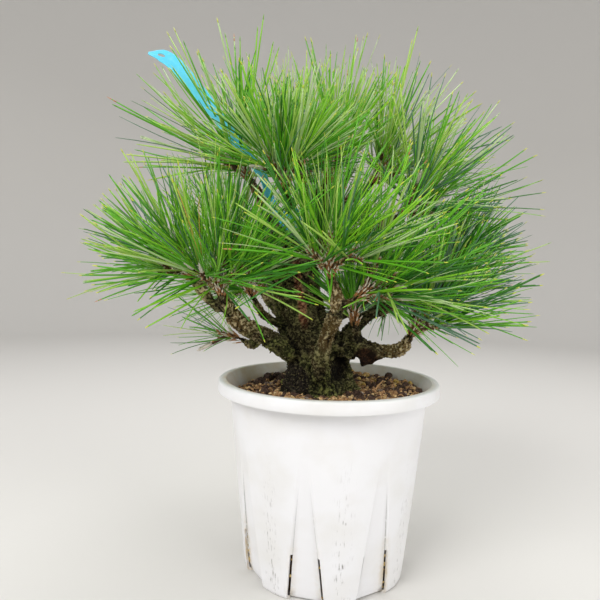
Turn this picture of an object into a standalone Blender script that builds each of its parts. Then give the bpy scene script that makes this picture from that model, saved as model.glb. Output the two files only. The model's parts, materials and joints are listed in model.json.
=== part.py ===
"""A Japanese black pine bonsai with thick corky bark, in a white slit-sided nursery pot.

The frame: metres, +Z up, the origin at the middle of the pot's flat underside, -Y to the front.
The tree is grown by rule: one trunk, a table of boughs, and on each bough's tip a mass of shoots
whose needles fan out by the golden angle and keep to their own mass's share of the crown.
"""
import math
import random
from collections import namedtuple

import bmesh
import bpy
import numpy as np
from mathutils import Matrix, Vector, noise

MM = 0.001
# Pieces that meet keep this gap, and a limb's cutter is a little wider than the gap for its facets.
GAP = 0.3 * MM
CUTTER_GROWTH = 1.25 * GAP

# Pot, as moulded: a thin shell with a turned-down rim and eight sunk panels, each with two slits.
POT_HEIGHT = 128 * MM
RIM_RADIUS = 75 * MM
RIM_DROP = 7.8 * MM
RIM_ROUND = 0.8 * MM
RIM_THROAT = 71 * MM
NECK_RADIUS = 66.8 * MM
NECK_LEVEL = 118.5 * MM
FOOT_RADIUS = 54.8 * MM
FOOT_ROUND = 1.8 * MM
FOOT_STEP = 3 * MM
FLOOR_RADIUS = 38 * MM
WALL = 1.6 * MM
PANELS = 8
PANEL_TURN = math.radians(30.2)
PANEL_HALF_ANGLE = math.radians(11)
PANEL_APEX_ANGLE = math.radians(1.2)
PANEL_EDGE_ANGLE = math.radians(1.3)
PANEL_DEPTH = 2.2 * MM
PANEL_TOP = 92 * MM
PANEL_SLACK = math.radians(0.06)
SLIT_WIDTH = 1.8 * MM
SLIT_HEIGHT = 30 * MM
SLIT_REACH = 7 * MM

# Soil: it fills the pot, with a level seat for the trunk and a lumpy surface round it.
SOIL_LEVEL = 118 * MM
SOIL_SEAT_RADIUS = 39 * MM
SOIL_RISE = 2.4 * MM
SOIL_LUMP = 2.2 * MM
SOIL_LUMP_SIZE = 7 * MM
SOIL_CLEARANCE = 1.0 * MM
SOIL_SIDES = 36
SOIL_RINGS = 3

# Trunk: the bends of its middle line in millimetres, from soil to tip, and its radius at each.
TRUNK_BENDS = ((-7.5, -2, 108), (-7.5, -2, 122), (-8, -1, 142), (-17.5, 1, 164), (-23, 2, 188),
               (-20, 4, 214), (-12, 7, 240), (-3, 9, 262))
TRUNK_RADII = (22.5, 22.0, 20.6, 16.6, 15.2, 11.5, 7.0, 3.8)
TRUNK_SIDES = 16
TRUNK_RINGS = 18
FLARE_ROOTS = 5
FLARE_HEIGHT = 34 * MM
FLARE_REACH = 0.42
FLARE_TURN = -0.11
BARK_RIDGE = 0.20
BARK_RIDGE_SIZE = 14 * MM
BARK_RIDGE_STRETCH = 2.5

# Boughs: parent limb, how far up it the root is (0 to 1), bends and tip in mm, root and tip radius.
Bough = namedtuple("Bough", "name parent rooted bends tip root_radius tip_radius")
BOUGHS = (
    Bough("bough_front", "trunk", 0.06, ((-3, -19, 124), (-7.5, -29, 142), (-3, -33, 160), (3, -38, 180)),
          (-2.5, -44, 197), 6.6, 3.9),
    Bough("twig_front_right", "bough_front", 0.74, ((8, -39, 181),), (13, -40, 184), 2.9, 2.5),
    Bough("bough_left", "trunk", 0.24, ((-38, -18, 155), (-60, -29, 168)),
          (-69, -35, 184), 7.6, 4.4),
    Bough("twig_left_outer", "bough_left", 0.80, ((-76, -33, 180),), (-88, -31, 195), 3.6, 2.8),
    Bough("twig_left_inner", "trunk", 0.38, ((-42, -10, 169),), (-52, -13, 183), 3.6, 2.7),
    Bough("twig_left_low", "bough_left", 0.45, ((-52, -8, 151),), (-60, -1, 153), 3.4, 2.6),
    Bough("bough_right", "trunk", 0.22, ((13, -13, 153), (33, -19, 149.5), (46, -20, 151.5)),
          (51.5, -21, 160), 6.6, 3.2),
    Bough("twig_right_inner", "bough_right", 0.36, ((17, -15, 161),), (16, -15, 165), 3.8, 2.7),
    Bough("bough_right_back", "trunk", 0.27, ((24, 16, 166), (58, 18, 187)),
          (73, 12, 201), 5.2, 3.6),
    Bough("twig_right_low", "bough_right_back", 0.66, ((63, 11, 176),), (68, 6, 180), 3.4, 2.6),
    Bough("bough_right_middle", "trunk", 0.68, ((18, 4, 226),), (46, 2, 240), 4.6, 3.2),
    Bough("bough_upper_left", "trunk", 0.60, ((-38, 0, 231),), (-56, 0, 262), 5.4, 3.4),
    Bough("twig_upper_front", "trunk", 0.66, ((-26, -13, 231),), (-31, -25, 252), 4.4, 3.0),
    Bough("bough_top_right", "trunk", 0.80, ((8, 12, 248),), (28, 15, 264), 4.0, 2.9),
    Bough("bough_left_back", "trunk", 0.50, ((-44, 16, 204),), (-64, 32, 216), 5.4, 3.4),
    Bough("bough_back_left", "trunk", 0.36, ((-36, 26, 172),), (-50, 48, 186), 5.4, 3.4),
    Bough("bough_back", "trunk", 0.55, ((-12, 28, 206),), (-4, 56, 222), 5.2, 3.3),
    Bough("bough_back_right", "trunk", 0.42, ((13, 27, 172),), (41, 50, 182), 5.4, 3.4),
    Bough("bough_back_high", "trunk", 0.76, ((-15, 24, 246),), (-20, 38, 266), 3.8, 2.8),
)
BOUGH_SIDES = 6
BOUGH_RINGS = 7
BARK_KNOB = 0.16
BARK_KNOB_SIZE = 6 * MM

# Cork flap: a slab of loose cork under this bough, at this share of its length.
FLAP_BOUGH = "bough_right"
FLAP_PLACE = 0.39
FLAP_RADII = (7.8 * MM, 3.4 * MM, 7 * MM)
FLAP_SHIFT = (0, 0, -6.5 * MM)
FLAP_TILT = math.radians(28)

# Needle masses: the limb they grow on, their lean, shoots, fan in degrees, needle length in mm, count.
Mass = namedtuple("Mass", "name limb lean shoots fan length needles")
MASSES = (
    Mass("needles_front", "bough_front", (0.04, -0.42, 1.0), 4, 50, 76, 40),
    Mass("needles_front_right", "twig_front_right", (0.95, -0.42, 0.50), 3, 36, 78, 30),
    Mass("needles_left_front", "bough_left", (0.0, -0.50, 1.0), 4, 46, 79, 40),
    Mass("needles_left_outer", "twig_left_outer", (-0.95, -0.22, 0.42), 4, 40, 64, 40),
    Mass("needles_left_inner", "twig_left_inner", (-0.1, 0.1, 1.0), 2, 36, 54, 16),
    Mass("needles_left_low", "twig_left_low", (-0.95, 0.22, 0.02), 1, 0, 46, 8),
    Mass("needles_right", "bough_right", (0.55, -0.42, 0.75), 3, 46, 76, 27),
    Mass("needles_right_inner", "twig_right_inner", (0.0, 0.18, 1.0), 2, 34, 52, 14),
    Mass("needles_right_low", "twig_right_low", (0.85, -0.30, 0.22), 3, 38, 62, 21),
    Mass("needles_right_outer", "bough_right_back", (0.95, -0.10, 0.42), 4, 40, 61, 36),
    Mass("needles_right_middle", "bough_right_middle", (0.80, -0.28, 0.58), 4, 42, 74, 36),
    Mass("needles_upper_left", "bough_upper_left", (-0.68, -0.05, 0.80), 4, 38, 80, 36),
    Mass("needles_upper_front", "twig_upper_front", (-0.06, -0.24, 1.0), 4, 36, 75, 34),
    Mass("needles_top", "trunk", (0.05, 0.10, 1.0), 4, 34, 78, 36),
    Mass("needles_top_right", "bough_top_right", (0.62, 0.12, 0.80), 4, 36, 80, 36),
    Mass("needles_left_back", "bough_left_back", (-0.60, 0.68, 0.48), 3, 38, 72, 30),
    Mass("needles_back_left", "bough_back_left", (-0.50, 0.82, 0.15), 4, 42, 72, 32),
    Mass("needles_back", "bough_back", (-0.05, 0.92, 0.48), 4, 42, 72, 32),
    Mass("needles_back_right", "bough_back_right", (0.55, 0.80, 0.12), 4, 42, 72, 32),
    Mass("needles_back_high", "bough_back_high", (-0.22, 0.62, 0.85), 4, 38, 78, 32),
)
PLAN_SEED = 100
STEM_LENGTH = 3 * MM
STEM_TAPER = 0.85
STEM_SIDES = 5
TWIG_LENGTH = 8 * MM
CANDLE_LENGTH = 17 * MM
FULL_SHOOT_NEEDLE = 76
SHOOT_RADIUS = 2.6 * MM
SHOOT_RISE = 0.15
SHOOT_SIDES = 3
CANDLE_TIP_RADIUS = 1.7 * MM

# Needles: they sit along the candle, wide open at its foot and nearly in line at its tip.
NEEDLE_SEED = 500
NEEDLE_RADIUS = 1.7 * MM
NEEDLE_SINK = 0.3 * MM
NEEDLE_FIRST = 0.12
NEEDLE_LAST = 0.96
NEEDLE_LOW_ANGLE = math.radians(74)
NEEDLE_TIP_ANGLE = math.radians(10)
NEEDLE_LEAST_ANGLE = math.radians(1)
NEEDLE_FAN_CURVE = 0.9
NEEDLE_JITTER = math.radians(9)
NEEDLE_TURN_JITTER = math.radians(69)
NEEDLE_SHORTEST = 0.78
NEEDLE_LIFT = 0.16
NEEDLE_TRIES = 24
NEEDLE_DROOP = -0.32
NEEDLE_LEVEL_DROOP = -0.25
NEEDLE_APART = 2.6 * MM
ROOT_ZONE = 12 * MM
GOLDEN_ANGLE = math.pi * (3 - math.sqrt(5))

# Space of a mass: all that is nearer to its shoots, or to these shares of a needle beyond them.
SPACE_REACHES = (0.0, 0.30, 0.62)
SPACE_MARGIN = 3.4 * MM
LIMB_MARGIN = 1.0 * MM
LOWEST_NEEDLE = POT_HEIGHT + 5 * MM
SAMPLE_STEP = 4 * MM

# Tag: a blue plastic strip, looped once round the upper front twig, its free end up in the air.
TAG_BOUGH = "twig_upper_front"
TAG_PLACE = 0.58
TAG_WIDTH = 10.5 * MM
TAG_THICKNESS = 0.5 * MM
TAG_CLEARANCE = 0.6 * MM
TAG_GRIP = 0.08
TAG_LOOP_START = math.radians(25)
TAG_LOOP_SWEEP = math.radians(400)
TAG_LOOP_GROWTH = 2.2 * MM
TAG_LOOP_STEPS = 18
TAG_RUN = ((-41, -17, 247), (-47, -15, 263), (-61, -14, 281), (-84, -12, 310), (-103, -11, 332),
           (-113, -11, 339.5), (-123, -12, 341))
TAG_RUN_STEPS = 20
TAG_TURN_STEPS = 5
TAG_TWIST = math.radians(75)
TAG_CURL = math.radians(62)
TAG_CURL_STEPS = 6
TAG_TIP_WIDTH = 0.22
TAG_TIP_GROWTH = 0.26
TAG_KEEP_CLEAR = 2.2 * MM


def material(name, colour, roughness):
    """A plain finish: base colour as linear red, green, blue."""
    finish = bpy.data.materials.new(name)
    finish.use_nodes = True
    shader = finish.node_tree.nodes["Principled BSDF"]
    shader.inputs["Base Color"].default_value = (*colour, 1)
    shader.inputs["Roughness"].default_value = roughness
    shader.inputs["Metallic"].default_value = 0.0
    finish.diffuse_color = (*colour, 1)
    return finish


def add_object(name, mesh, collection, finish=None):
    """Put a mesh in a collection as one named object."""
    item = bpy.data.objects.new(name, mesh)
    collection.objects.link(item)
    if finish:
        item.data.materials.append(finish)
    return item


def evaluated_mesh(item):
    """The object's mesh with its modifiers applied."""
    bpy.context.view_layer.update()
    graph = bpy.context.evaluated_depsgraph_get()
    return bpy.data.meshes.new_from_object(item.evaluated_get(graph))


def mesh_from(bm, name):
    """Turn a bmesh into a mesh."""
    mesh = bpy.data.meshes.new(name)
    bm.to_mesh(mesh)
    bm.free()
    return mesh


def smooth_path(points, count, skip=0):
    """Points evenly stepped along the smooth curve through the given ones, from span skip on."""
    ends = [points[0] * 2 - points[1], *points, points[-1] * 2 - points[-2]]
    path = []
    for step in range(count):
        at = skip + step / (count - 1) * (len(points) - 1 - skip)
        i = min(int(at), len(points) - 2)
        t = at - i
        before, start, end, after = ends[i:i + 4]
        path.append(0.5 * (2 * start + (end - before) * t
                           + (2 * before - 5 * start + 4 * end - after) * t ** 2
                           + (3 * start - before - 3 * end + after) * t ** 3))
    return path


def turned_aside(direction, angle, azimuth):
    """The direction, tipped by angle towards azimuth round it."""
    side = direction.orthogonal().normalized()
    side.rotate(Matrix.Rotation(azimuth, 3, direction))
    return (direction * math.cos(angle) + side * math.sin(angle)).normalized()


def tube(name, path, radii, sides, collection):
    """A tapering tube through the path, with flat ends, as one closed mesh."""
    curve = bpy.data.curves.new(name, "CURVE")
    curve.dimensions = "3D"
    curve.twist_mode = "MINIMUM"
    curve.bevel_depth = 1.0
    curve.bevel_resolution = (sides - 4) // 2
    curve.use_fill_caps = True
    spline = curve.splines.new("POLY")
    spline.points.add(len(path) - 1)
    for point, place, radius in zip(spline.points, path, radii):
        point.co = (*place, 1)
        point.radius = radius
    guide = add_object(name + "_guide", curve, collection)
    mesh = evaluated_mesh(guide)
    bpy.data.objects.remove(guide)
    bm = bmesh.new()
    bm.from_mesh(mesh)
    bmesh.ops.remove_doubles(bm, verts=bm.verts, dist=0.01 * MM)
    bmesh.ops.triangulate(bm, faces=bm.faces)
    bm.to_mesh(mesh)
    bm.free()
    return mesh


def largest_body(mesh):
    """Keep the biggest closed body of a mesh, without scraps or sealed hollows."""
    bm = bmesh.new()
    bm.from_mesh(mesh)
    left = set(bm.faces)
    bodies = []
    while left:
        body = {left.pop()}
        edge_of_body = list(body)
        while edge_of_body:
            face = edge_of_body.pop()
            for neighbour in (f for edge in face.edges for f in edge.link_faces if f in left):
                left.discard(neighbour)
                body.add(neighbour)
                edge_of_body.append(neighbour)
        bodies.append(body)
    keep = max(bodies, key=lambda body: sum(face.calc_area() for face in body))
    bmesh.ops.delete(bm, geom=[face for face in bm.faces if face not in keep], context="FACES")
    bm.to_mesh(mesh)
    bm.free()
    return mesh


def combine(item, others, operation):
    """Apply one Boolean of a collection's objects to the item, and remove them."""
    boolean = item.modifiers.new("Combine", "BOOLEAN")
    boolean.operation = operation
    boolean.operand_type = "COLLECTION"
    boolean.collection = others
    boolean.solver = "EXACT"
    mesh = largest_body(evaluated_mesh(item))
    item.modifiers.clear()
    item.data = mesh
    for other in list(others.objects):
        bpy.data.objects.remove(other)


def pot_outer_radius(azimuth_from_panel, level):
    """Radius of the pot's outside, smaller where a sunk panel lies."""
    radius = FOOT_RADIUS + (NECK_RADIUS - FOOT_RADIUS) * level / NECK_LEVEL
    if azimuth_from_panel <= panel_half_angle(level):
        radius -= PANEL_DEPTH * max(0.0, 1 - level / PANEL_TOP)
    return radius


def panel_half_angle(level):
    """Half the angle that a sunk panel spans: wide at the foot, a point at its top."""
    rise = min(1.0, level / PANEL_TOP)
    return PANEL_HALF_ANGLE * (1 - rise) + PANEL_APEX_ANGLE * rise


def pot_stations(level):
    """Angles of the pot's corners round one ring, with how far each lies from its panel's middle."""
    half = panel_half_angle(level)
    pitch = 2 * math.pi / PANELS
    edge = half + PANEL_EDGE_ANGLE
    flank = (edge + pitch / 2) / 2
    offsets = (-flank, -edge, -half, half, edge, flank, pitch / 2)
    return [(PANEL_TURN + panel * pitch + offset, abs(offset))
            for panel in range(PANELS) for offset in offsets]


def pot_ring(bm, level, radius_at, height_at=None):
    """One ring of the pot's outside, as corners in order."""
    ring = []
    for azimuth, from_panel in pot_stations(level):
        radius = radius_at(from_panel)
        height = height_at(from_panel) if height_at else level
        ring.append(bm.verts.new((radius * math.sin(azimuth), -radius * math.cos(azimuth), height)))
    return ring


def make_pot(collection, cutters):
    """The pot: a lofted open shell given its wall by Solidify, and slits cut at the panels' feet."""
    bm = bmesh.new()
    in_panel = PANEL_HALF_ANGLE + PANEL_SLACK
    sole = pot_ring(bm, 0.0, lambda a: pot_outer_radius(a, 0.0) - FOOT_ROUND
                    - (FOOT_STEP if a <= in_panel else 0.0))
    middle = pot_ring(bm, 0.0, lambda a: FLOOR_RADIUS)
    rings = [middle, sole]
    for level in (FOOT_STEP, PANEL_TOP, NECK_LEVEL):
        rings.append(pot_ring(bm, level, lambda a, z=level: pot_outer_radius(a, z)))
    under_rim = POT_HEIGHT - WALL
    inside_skirt = RIM_RADIUS - WALL
    rim = ((RIM_THROAT, under_rim - RIM_ROUND), (RIM_THROAT + RIM_ROUND, under_rim),
           (inside_skirt - RIM_ROUND, under_rim), (inside_skirt, under_rim - RIM_ROUND),
           (inside_skirt, POT_HEIGHT - RIM_DROP))
    for radius, level in rim:
        rings.append(pot_ring(bm, PANEL_TOP, lambda a, r=radius: r, lambda a, z=level: z))
    bm.faces.new(reversed(middle))
    for lower, upper in zip(rings, rings[1:]):
        for i in range(len(lower)):
            j = (i + 1) % len(lower)
            bm.faces.new((lower[i], lower[j], upper[j], upper[i]))
    pot = add_object("pot", mesh_from(bm, "pot"), collection,
                     material("White moulded polypropylene", (0.80, 0.79, 0.77), 0.42))
    wall = pot.modifiers.new("Wall", "SOLIDIFY")
    wall.thickness = WALL
    wall.offset = -1
    wall.use_even_offset = True
    pot.data = evaluated_mesh(pot)
    pot.modifiers.clear()
    for panel in range(PANELS):
        for side in (-1, 1):
            azimuth = (PANEL_TURN + panel * 2 * math.pi / PANELS
                       + side * (PANEL_HALF_ANGLE + PANEL_EDGE_ANGLE / 2))
            add_slit_cutter(f"slit_cutter_{panel}_{side}", azimuth, side, cutters)
    combine(pot, cutters, "DIFFERENCE")
    return pot


def add_slit_cutter(name, azimuth, side, cutters):
    """A thin upright box through the wall, leaning with the panel's edge."""
    lean = math.atan2(FOOT_RADIUS * PANEL_HALF_ANGLE, PANEL_TOP)
    bm = bmesh.new()
    bmesh.ops.create_cube(bm, size=1.0)
    bmesh.ops.scale(bm, verts=bm.verts, vec=(SLIT_WIDTH, 2 * SLIT_REACH, 2 * SLIT_HEIGHT))
    cutter = add_object(name, mesh_from(bm, name), cutters)
    cutter.matrix_world = (Matrix.Rotation(azimuth, 4, "Z")
                           @ Matrix.Translation((0, -FOOT_RADIUS, 0))
                           @ Matrix.Rotation(-side * lean, 4, "Y"))
    cutter.hide_render = True
    cutter.display_type = "WIRE"


def make_soil(collection):
    """The soil: a turned plug inside the pot, lumpy outside the trunk's level seat."""
    inside = []
    for level in (WALL + GAP, FOOT_STEP + 2 * WALL, PANEL_TOP, SOIL_LEVEL):
        flat_of_panel = pot_outer_radius(0.0, level) * math.cos(panel_half_angle(level))
        inside.append((flat_of_panel - WALL - SOIL_CLEARANCE, level))
    top_edge = inside[-1][0]
    outline = [(0.0, SOIL_LEVEL), (SOIL_SEAT_RADIUS / 2, SOIL_LEVEL)]
    for radius in np.linspace(SOIL_SEAT_RADIUS, top_edge, SOIL_RINGS + 1):
        outline.append((radius, SOIL_LEVEL))
    outline += [*reversed(inside[1:3]), (FLOOR_RADIUS - WALL, inside[0][1]), (0.0, inside[0][1])]
    mesh = bpy.data.meshes.new("soil")
    edges = [(i, i + 1) for i in range(len(outline) - 1)]
    mesh.from_pydata([(radius, 0.0, level) for radius, level in outline], edges, [])
    soil = add_object("soil", mesh, collection, material("Moist potting grit", (0.06, 0.04, 0.025), 0.95))
    turn = soil.modifiers.new("Turn", "SCREW")
    turn.steps = SOIL_SIDES
    turn.render_steps = SOIL_SIDES
    turn.use_merge_vertices = True
    turn.merge_threshold = 0.01 * MM
    soil.data = evaluated_mesh(soil)
    soil.modifiers.clear()
    for vertex in soil.data.vertices:
        out = math.hypot(vertex.co.x, vertex.co.y) - SOIL_SEAT_RADIUS
        if vertex.co.z > SOIL_LEVEL - GAP and out > MM:
            lump = noise.noise(vertex.co / SOIL_LUMP_SIZE)
            vertex.co.z += SOIL_RISE + SOIL_LUMP * lump
    return soil


def fatter_copy(mesh):
    """A copy of a limb's mesh, wider by the gap, for cutting the limb that grows from it."""
    copy = mesh.copy()
    for vertex in copy.vertices:
        vertex.co += vertex.normal * CUTTER_GROWTH
    return copy


def trunk_mesh(collection):
    """The trunk, with flared roots, ridged bark and a flat cut where it stands on the soil."""
    path = smooth_path([Vector(bend) * MM for bend in TRUNK_BENDS], TRUNK_RINGS)
    spots = np.linspace(0, len(TRUNK_RADII) - 1, TRUNK_RINGS)
    radii = np.interp(spots, range(len(TRUNK_RADII)), TRUNK_RADII) * MM
    mesh = tube("trunk", path, radii, TRUNK_SIDES, collection)
    for vertex in mesh.vertices:
        nearest = min(path, key=lambda place: (place - vertex.co).length)
        outward = vertex.co - nearest
        turn = math.atan2(outward.y, outward.x)
        low = max(0.0, 1 - (vertex.co.z - SOIL_LEVEL) / FLARE_HEIGHT)
        lobe = 0.5 + 0.5 * math.cos(FLARE_ROOTS * turn + FLARE_TURN)
        swell = FLARE_REACH * min(1.0, low) ** 2 * lobe
        spot = Vector((vertex.co.x, vertex.co.y, vertex.co.z / BARK_RIDGE_STRETCH))
        ridge = BARK_RIDGE * noise.noise(spot / BARK_RIDGE_SIZE)
        fade = min(1.0, (path[-1] - vertex.co).length / BARK_RIDGE_SIZE)
        vertex.co += outward * (swell + ridge * fade)
    bm = bmesh.new()
    bm.from_mesh(mesh)
    cut = bmesh.ops.bisect_plane(bm, geom=bm.verts[:] + bm.edges[:] + bm.faces[:],
                                 plane_co=(0, 0, SOIL_LEVEL + GAP), plane_no=(0, 0, -1),
                                 clear_outer=True)
    rim = [piece for piece in cut["geom_cut"] if isinstance(piece, bmesh.types.BMEdge)]
    bmesh.ops.contextual_create(bm, geom=rim)
    bmesh.ops.recalc_face_normals(bm, faces=bm.faces)
    bm.to_mesh(mesh)
    bm.free()
    return mesh, path, list(radii)


class Limb:
    """A limb's middle line and radii, kept so that others can root on it and stay clear of it."""

    def __init__(self, path, radii):
        self.path = path
        self.radii = radii

    def point(self, share):
        at = share * (len(self.path) - 1)
        i = min(int(at), len(self.path) - 2)
        return self.path[i].lerp(self.path[i + 1], at - i)

    def radius(self, share):
        return float(np.interp(share * (len(self.path) - 1), range(len(self.path)), self.radii))

    def tip(self):
        return self.path[-1], (self.path[-1] - self.path[-2]).normalized(), self.radii[-1]


def bough_mesh(bough, limbs, collection):
    """One bough through its bends, with knobbly corky sides."""
    root = limbs[bough.parent].point(bough.rooted)
    bends = [root, *(Vector(bend) * MM for bend in bough.bends), Vector(bough.tip) * MM]
    path = smooth_path(bends, BOUGH_RINGS + 2 * len(bough.bends))
    count = len(path)
    radii = []
    for ring in range(count):
        share = ring / (count - 1)
        knob = 1 + BARK_KNOB * noise.noise(path[ring] / BARK_KNOB_SIZE) * (ring < count - 1)
        radius = bough.root_radius + (bough.tip_radius - bough.root_radius) * share
        radii.append(radius * MM * knob)
    mesh = tube(bough.name, path, radii, BOUGH_SIDES, collection)
    return mesh, path, radii


def add_cork_flap(item, limb, others):
    """A slab of loose cork that hangs under the bough."""
    bm = bmesh.new()
    bmesh.ops.create_icosphere(bm, subdivisions=1, radius=1.0)
    bmesh.ops.scale(bm, verts=bm.verts, vec=FLAP_RADII)
    flap = add_object("cork_flap", mesh_from(bm, "cork_flap"), others)
    flap.location = limb.point(FLAP_PLACE) + Vector(FLAP_SHIFT)
    flap.rotation_euler = (0, FLAP_TILT, 0)
    combine(item, others, "UNION")


def make_limbs(collection, others):
    """The trunk and boughs, each bough cut clear of the limb that it grows from."""
    bark = material("Corky pine bark", (0.13, 0.10, 0.055), 0.92)
    mesh, path, radii = trunk_mesh(collection)
    add_object("trunk", mesh, collection, bark)
    limbs = {"trunk": Limb(path, radii)}
    cutters = {"trunk": fatter_copy(mesh)}
    for bough in BOUGHS:
        mesh, path, radii = bough_mesh(bough, limbs, collection)
        item = add_object(bough.name, mesh, collection, bark)
        limbs[bough.name] = Limb(path, radii)
        cutters[bough.name] = fatter_copy(mesh)
        add_object("parent_cutter", cutters[bough.parent].copy(), others)
        combine(item, others, "DIFFERENCE")
        if bough.name == FLAP_BOUGH:
            add_cork_flap(item, limbs[bough.name], others)
    return limbs


def tag_frames(limbs):
    """Middle points of the tag's strip and its width directions, from its head to its free end."""
    bough = limbs[TAG_BOUGH]
    centre = bough.point(TAG_PLACE)
    along = (bough.point(TAG_PLACE + TAG_GRIP) - bough.point(TAG_PLACE - TAG_GRIP)).normalized()
    front = Vector((0, -1, 0))
    front = (front - along * front.dot(along)).normalized()
    over = along.cross(front)
    if over.x > 0:
        over.negate()
    radius = bough.radius(TAG_PLACE - TAG_GRIP) + TAG_CLEARANCE
    frames = []
    for step in range(TAG_LOOP_STEPS + 1):
        share = step / TAG_LOOP_STEPS
        angle = TAG_LOOP_START + share * TAG_LOOP_SWEEP
        reach = radius + TAG_LOOP_GROWTH * share
        frames.append((centre + (front * math.cos(angle) + over * math.sin(angle)) * reach, along))
    last, before = frames[-1][0], frames[-2][0]
    run = smooth_path([before, last, *(Vector(point) * MM for point in TAG_RUN)], TAG_RUN_STEPS, 1)[1:]
    for i, point in enumerate(run):
        heading = (run[min(i + 1, len(run) - 1)] - run[max(i - 1, 0)]).normalized()
        across = heading.cross(front).normalized()
        if across.dot(along) < 0:
            across.negate()
        twist = TAG_TWIST * math.cos(math.pi / 2 * i / (len(run) - 1))
        across.rotate(Matrix.Rotation(twist, 3, heading))
        blend = min(1.0, i / TAG_TURN_STEPS)
        across = along.lerp(across, blend).normalized()
        curl = TAG_CURL * max(0.0, 1 - (len(run) - 1 - i) / TAG_CURL_STEPS)
        across.rotate(Matrix.Rotation(curl, 3, heading))
        frames.append((point, across))
    return frames


def make_tag(limbs, collection):
    """The blue strip: a ribbon between two edges, given its thickness by Solidify."""
    frames = tag_frames(limbs)
    bm = bmesh.new()
    edges = []
    for i, (point, across) in enumerate(frames):
        left = len(frames) - 1 - i
        half = TAG_WIDTH / 2 * min(1.0, TAG_TIP_WIDTH + left * TAG_TIP_GROWTH)
        edges.append((bm.verts.new(point - across * half), bm.verts.new(point + across * half)))
    for here, there in zip(edges, edges[1:]):
        bm.faces.new((here[0], here[1], there[1], there[0]))
    tag = add_object("plant_tag", mesh_from(bm, "plant_tag"), collection,
                     material("Blue polyethylene strip", (0.05, 0.36, 0.72), 0.4))
    body = tag.modifiers.new("Body", "SOLIDIFY")
    body.thickness = TAG_THICKNESS
    body.offset = 0
    body.use_even_offset = True
    return frames


def plan_mass(index, mass, limbs):
    """The stem, twigs and candles of one mass, as rods of start, end and the two radii."""
    rng = random.Random(PLAN_SEED + index)
    tip, heading, tip_radius = limbs[mass.limb].tip()
    radius = tip_radius * STEM_TAPER
    lean = Vector(mass.lean).normalized()
    start = tip + heading * GAP
    bend = start + heading * STEM_LENGTH
    hub = bend + (heading + lean).normalized() * STEM_LENGTH
    rods = [(start, bend, radius, radius),
            (bend - heading * MM, hub, radius * STEM_TAPER, SHOOT_RADIUS)]
    candles = []
    vigour = min(1.0, mass.length / FULL_SHOOT_NEEDLE)
    phase = rng.uniform(0, 2 * math.pi)
    for shoot in range(mass.shoots):
        fan = math.radians(mass.fan) * (shoot > 0)
        out = turned_aside(lean, fan, phase + shoot * 2 * math.pi / max(1, mass.shoots - 1))
        out = (out + Vector((0, 0, SHOOT_RISE))).normalized()
        foot = hub - lean * SHOOT_RADIUS
        knee = foot + out * (TWIG_LENGTH * vigour)
        end = knee + out * (CANDLE_LENGTH * vigour)
        rods.append((foot, end, SHOOT_RADIUS, CANDLE_TIP_RADIUS))
        candles.append((knee, end, out))
    return rods, candles


def crown_spaces(plans):
    """Middles of each mass's space: a point is in the space whose nearest middle is closest."""
    places = []
    owners = []
    for index, (mass, (rods, candles)) in enumerate(zip(MASSES, plans)):
        own = [start for start, end, low, high in rods]
        for knee, end, out in candles:
            own += [end + out * (reach * mass.length * MM) for reach in SPACE_REACHES]
        places += [tuple(point) for point in own]
        owners += [index] * len(own)
    return np.array(places), np.array(owners)


def solid_samples(limbs, tag):
    """Points along the limbs and over the tag, with the radius that needles keep clear of."""
    places = []
    radii = []
    for limb in limbs.values():
        for i in range(len(limb.path) - 1):
            for share in (0, 0.34, 0.67):
                places.append(tuple(limb.path[i].lerp(limb.path[i + 1], share)))
                radii.append(max(limb.radii[i], limb.radii[i + 1]) * (1 + BARK_RIDGE / 2))
    for point, across in tag:
        for share in (-1, -0.5, 0, 0.5, 1):
            places.append(tuple(point + across * (share * TAG_WIDTH / 2)))
            radii.append(TAG_KEEP_CLEAR)
    return np.array(places), np.array(radii)


def line_samples(start, end):
    """Points along a needle, every few millimetres."""
    shares = np.linspace(0.0, 1.0, max(2, int((end - start).length / SAMPLE_STEP)) + 1)[:, None]
    return np.array(start) * (1 - shares) + np.array(end) * shares


def distances(places, others):
    """Distances of every point of one list to every point of the other."""
    return np.linalg.norm(places[:, None, :] - others[None, :, :], axis=2)


def is_free(samples, index, spaces, solids):
    """Whether a needle stays in its mass's space, above the rim and clear of limbs and tag."""
    if samples[:, 2].min() < LOWEST_NEEDLE:
        return False
    places, owners = spaces
    reach = distances(samples, places)
    own = reach[:, owners == index].min(axis=1)
    others = reach[:, owners != index].min(axis=1)
    if (others - own).min() < SPACE_MARGIN:
        return False
    solid_places, solid_radii = solids
    clear = distances(samples, solid_places) - solid_radii
    return clear.min() > LIMB_MARGIN + NEEDLE_RADIUS


def needle_droop(mass):
    """The steepest fall of a needle's direction: steeper in a mass that leans out level."""
    return NEEDLE_DROOP + NEEDLE_LEVEL_DROOP * (1 - Vector(mass.lean).normalized().z)


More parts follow.
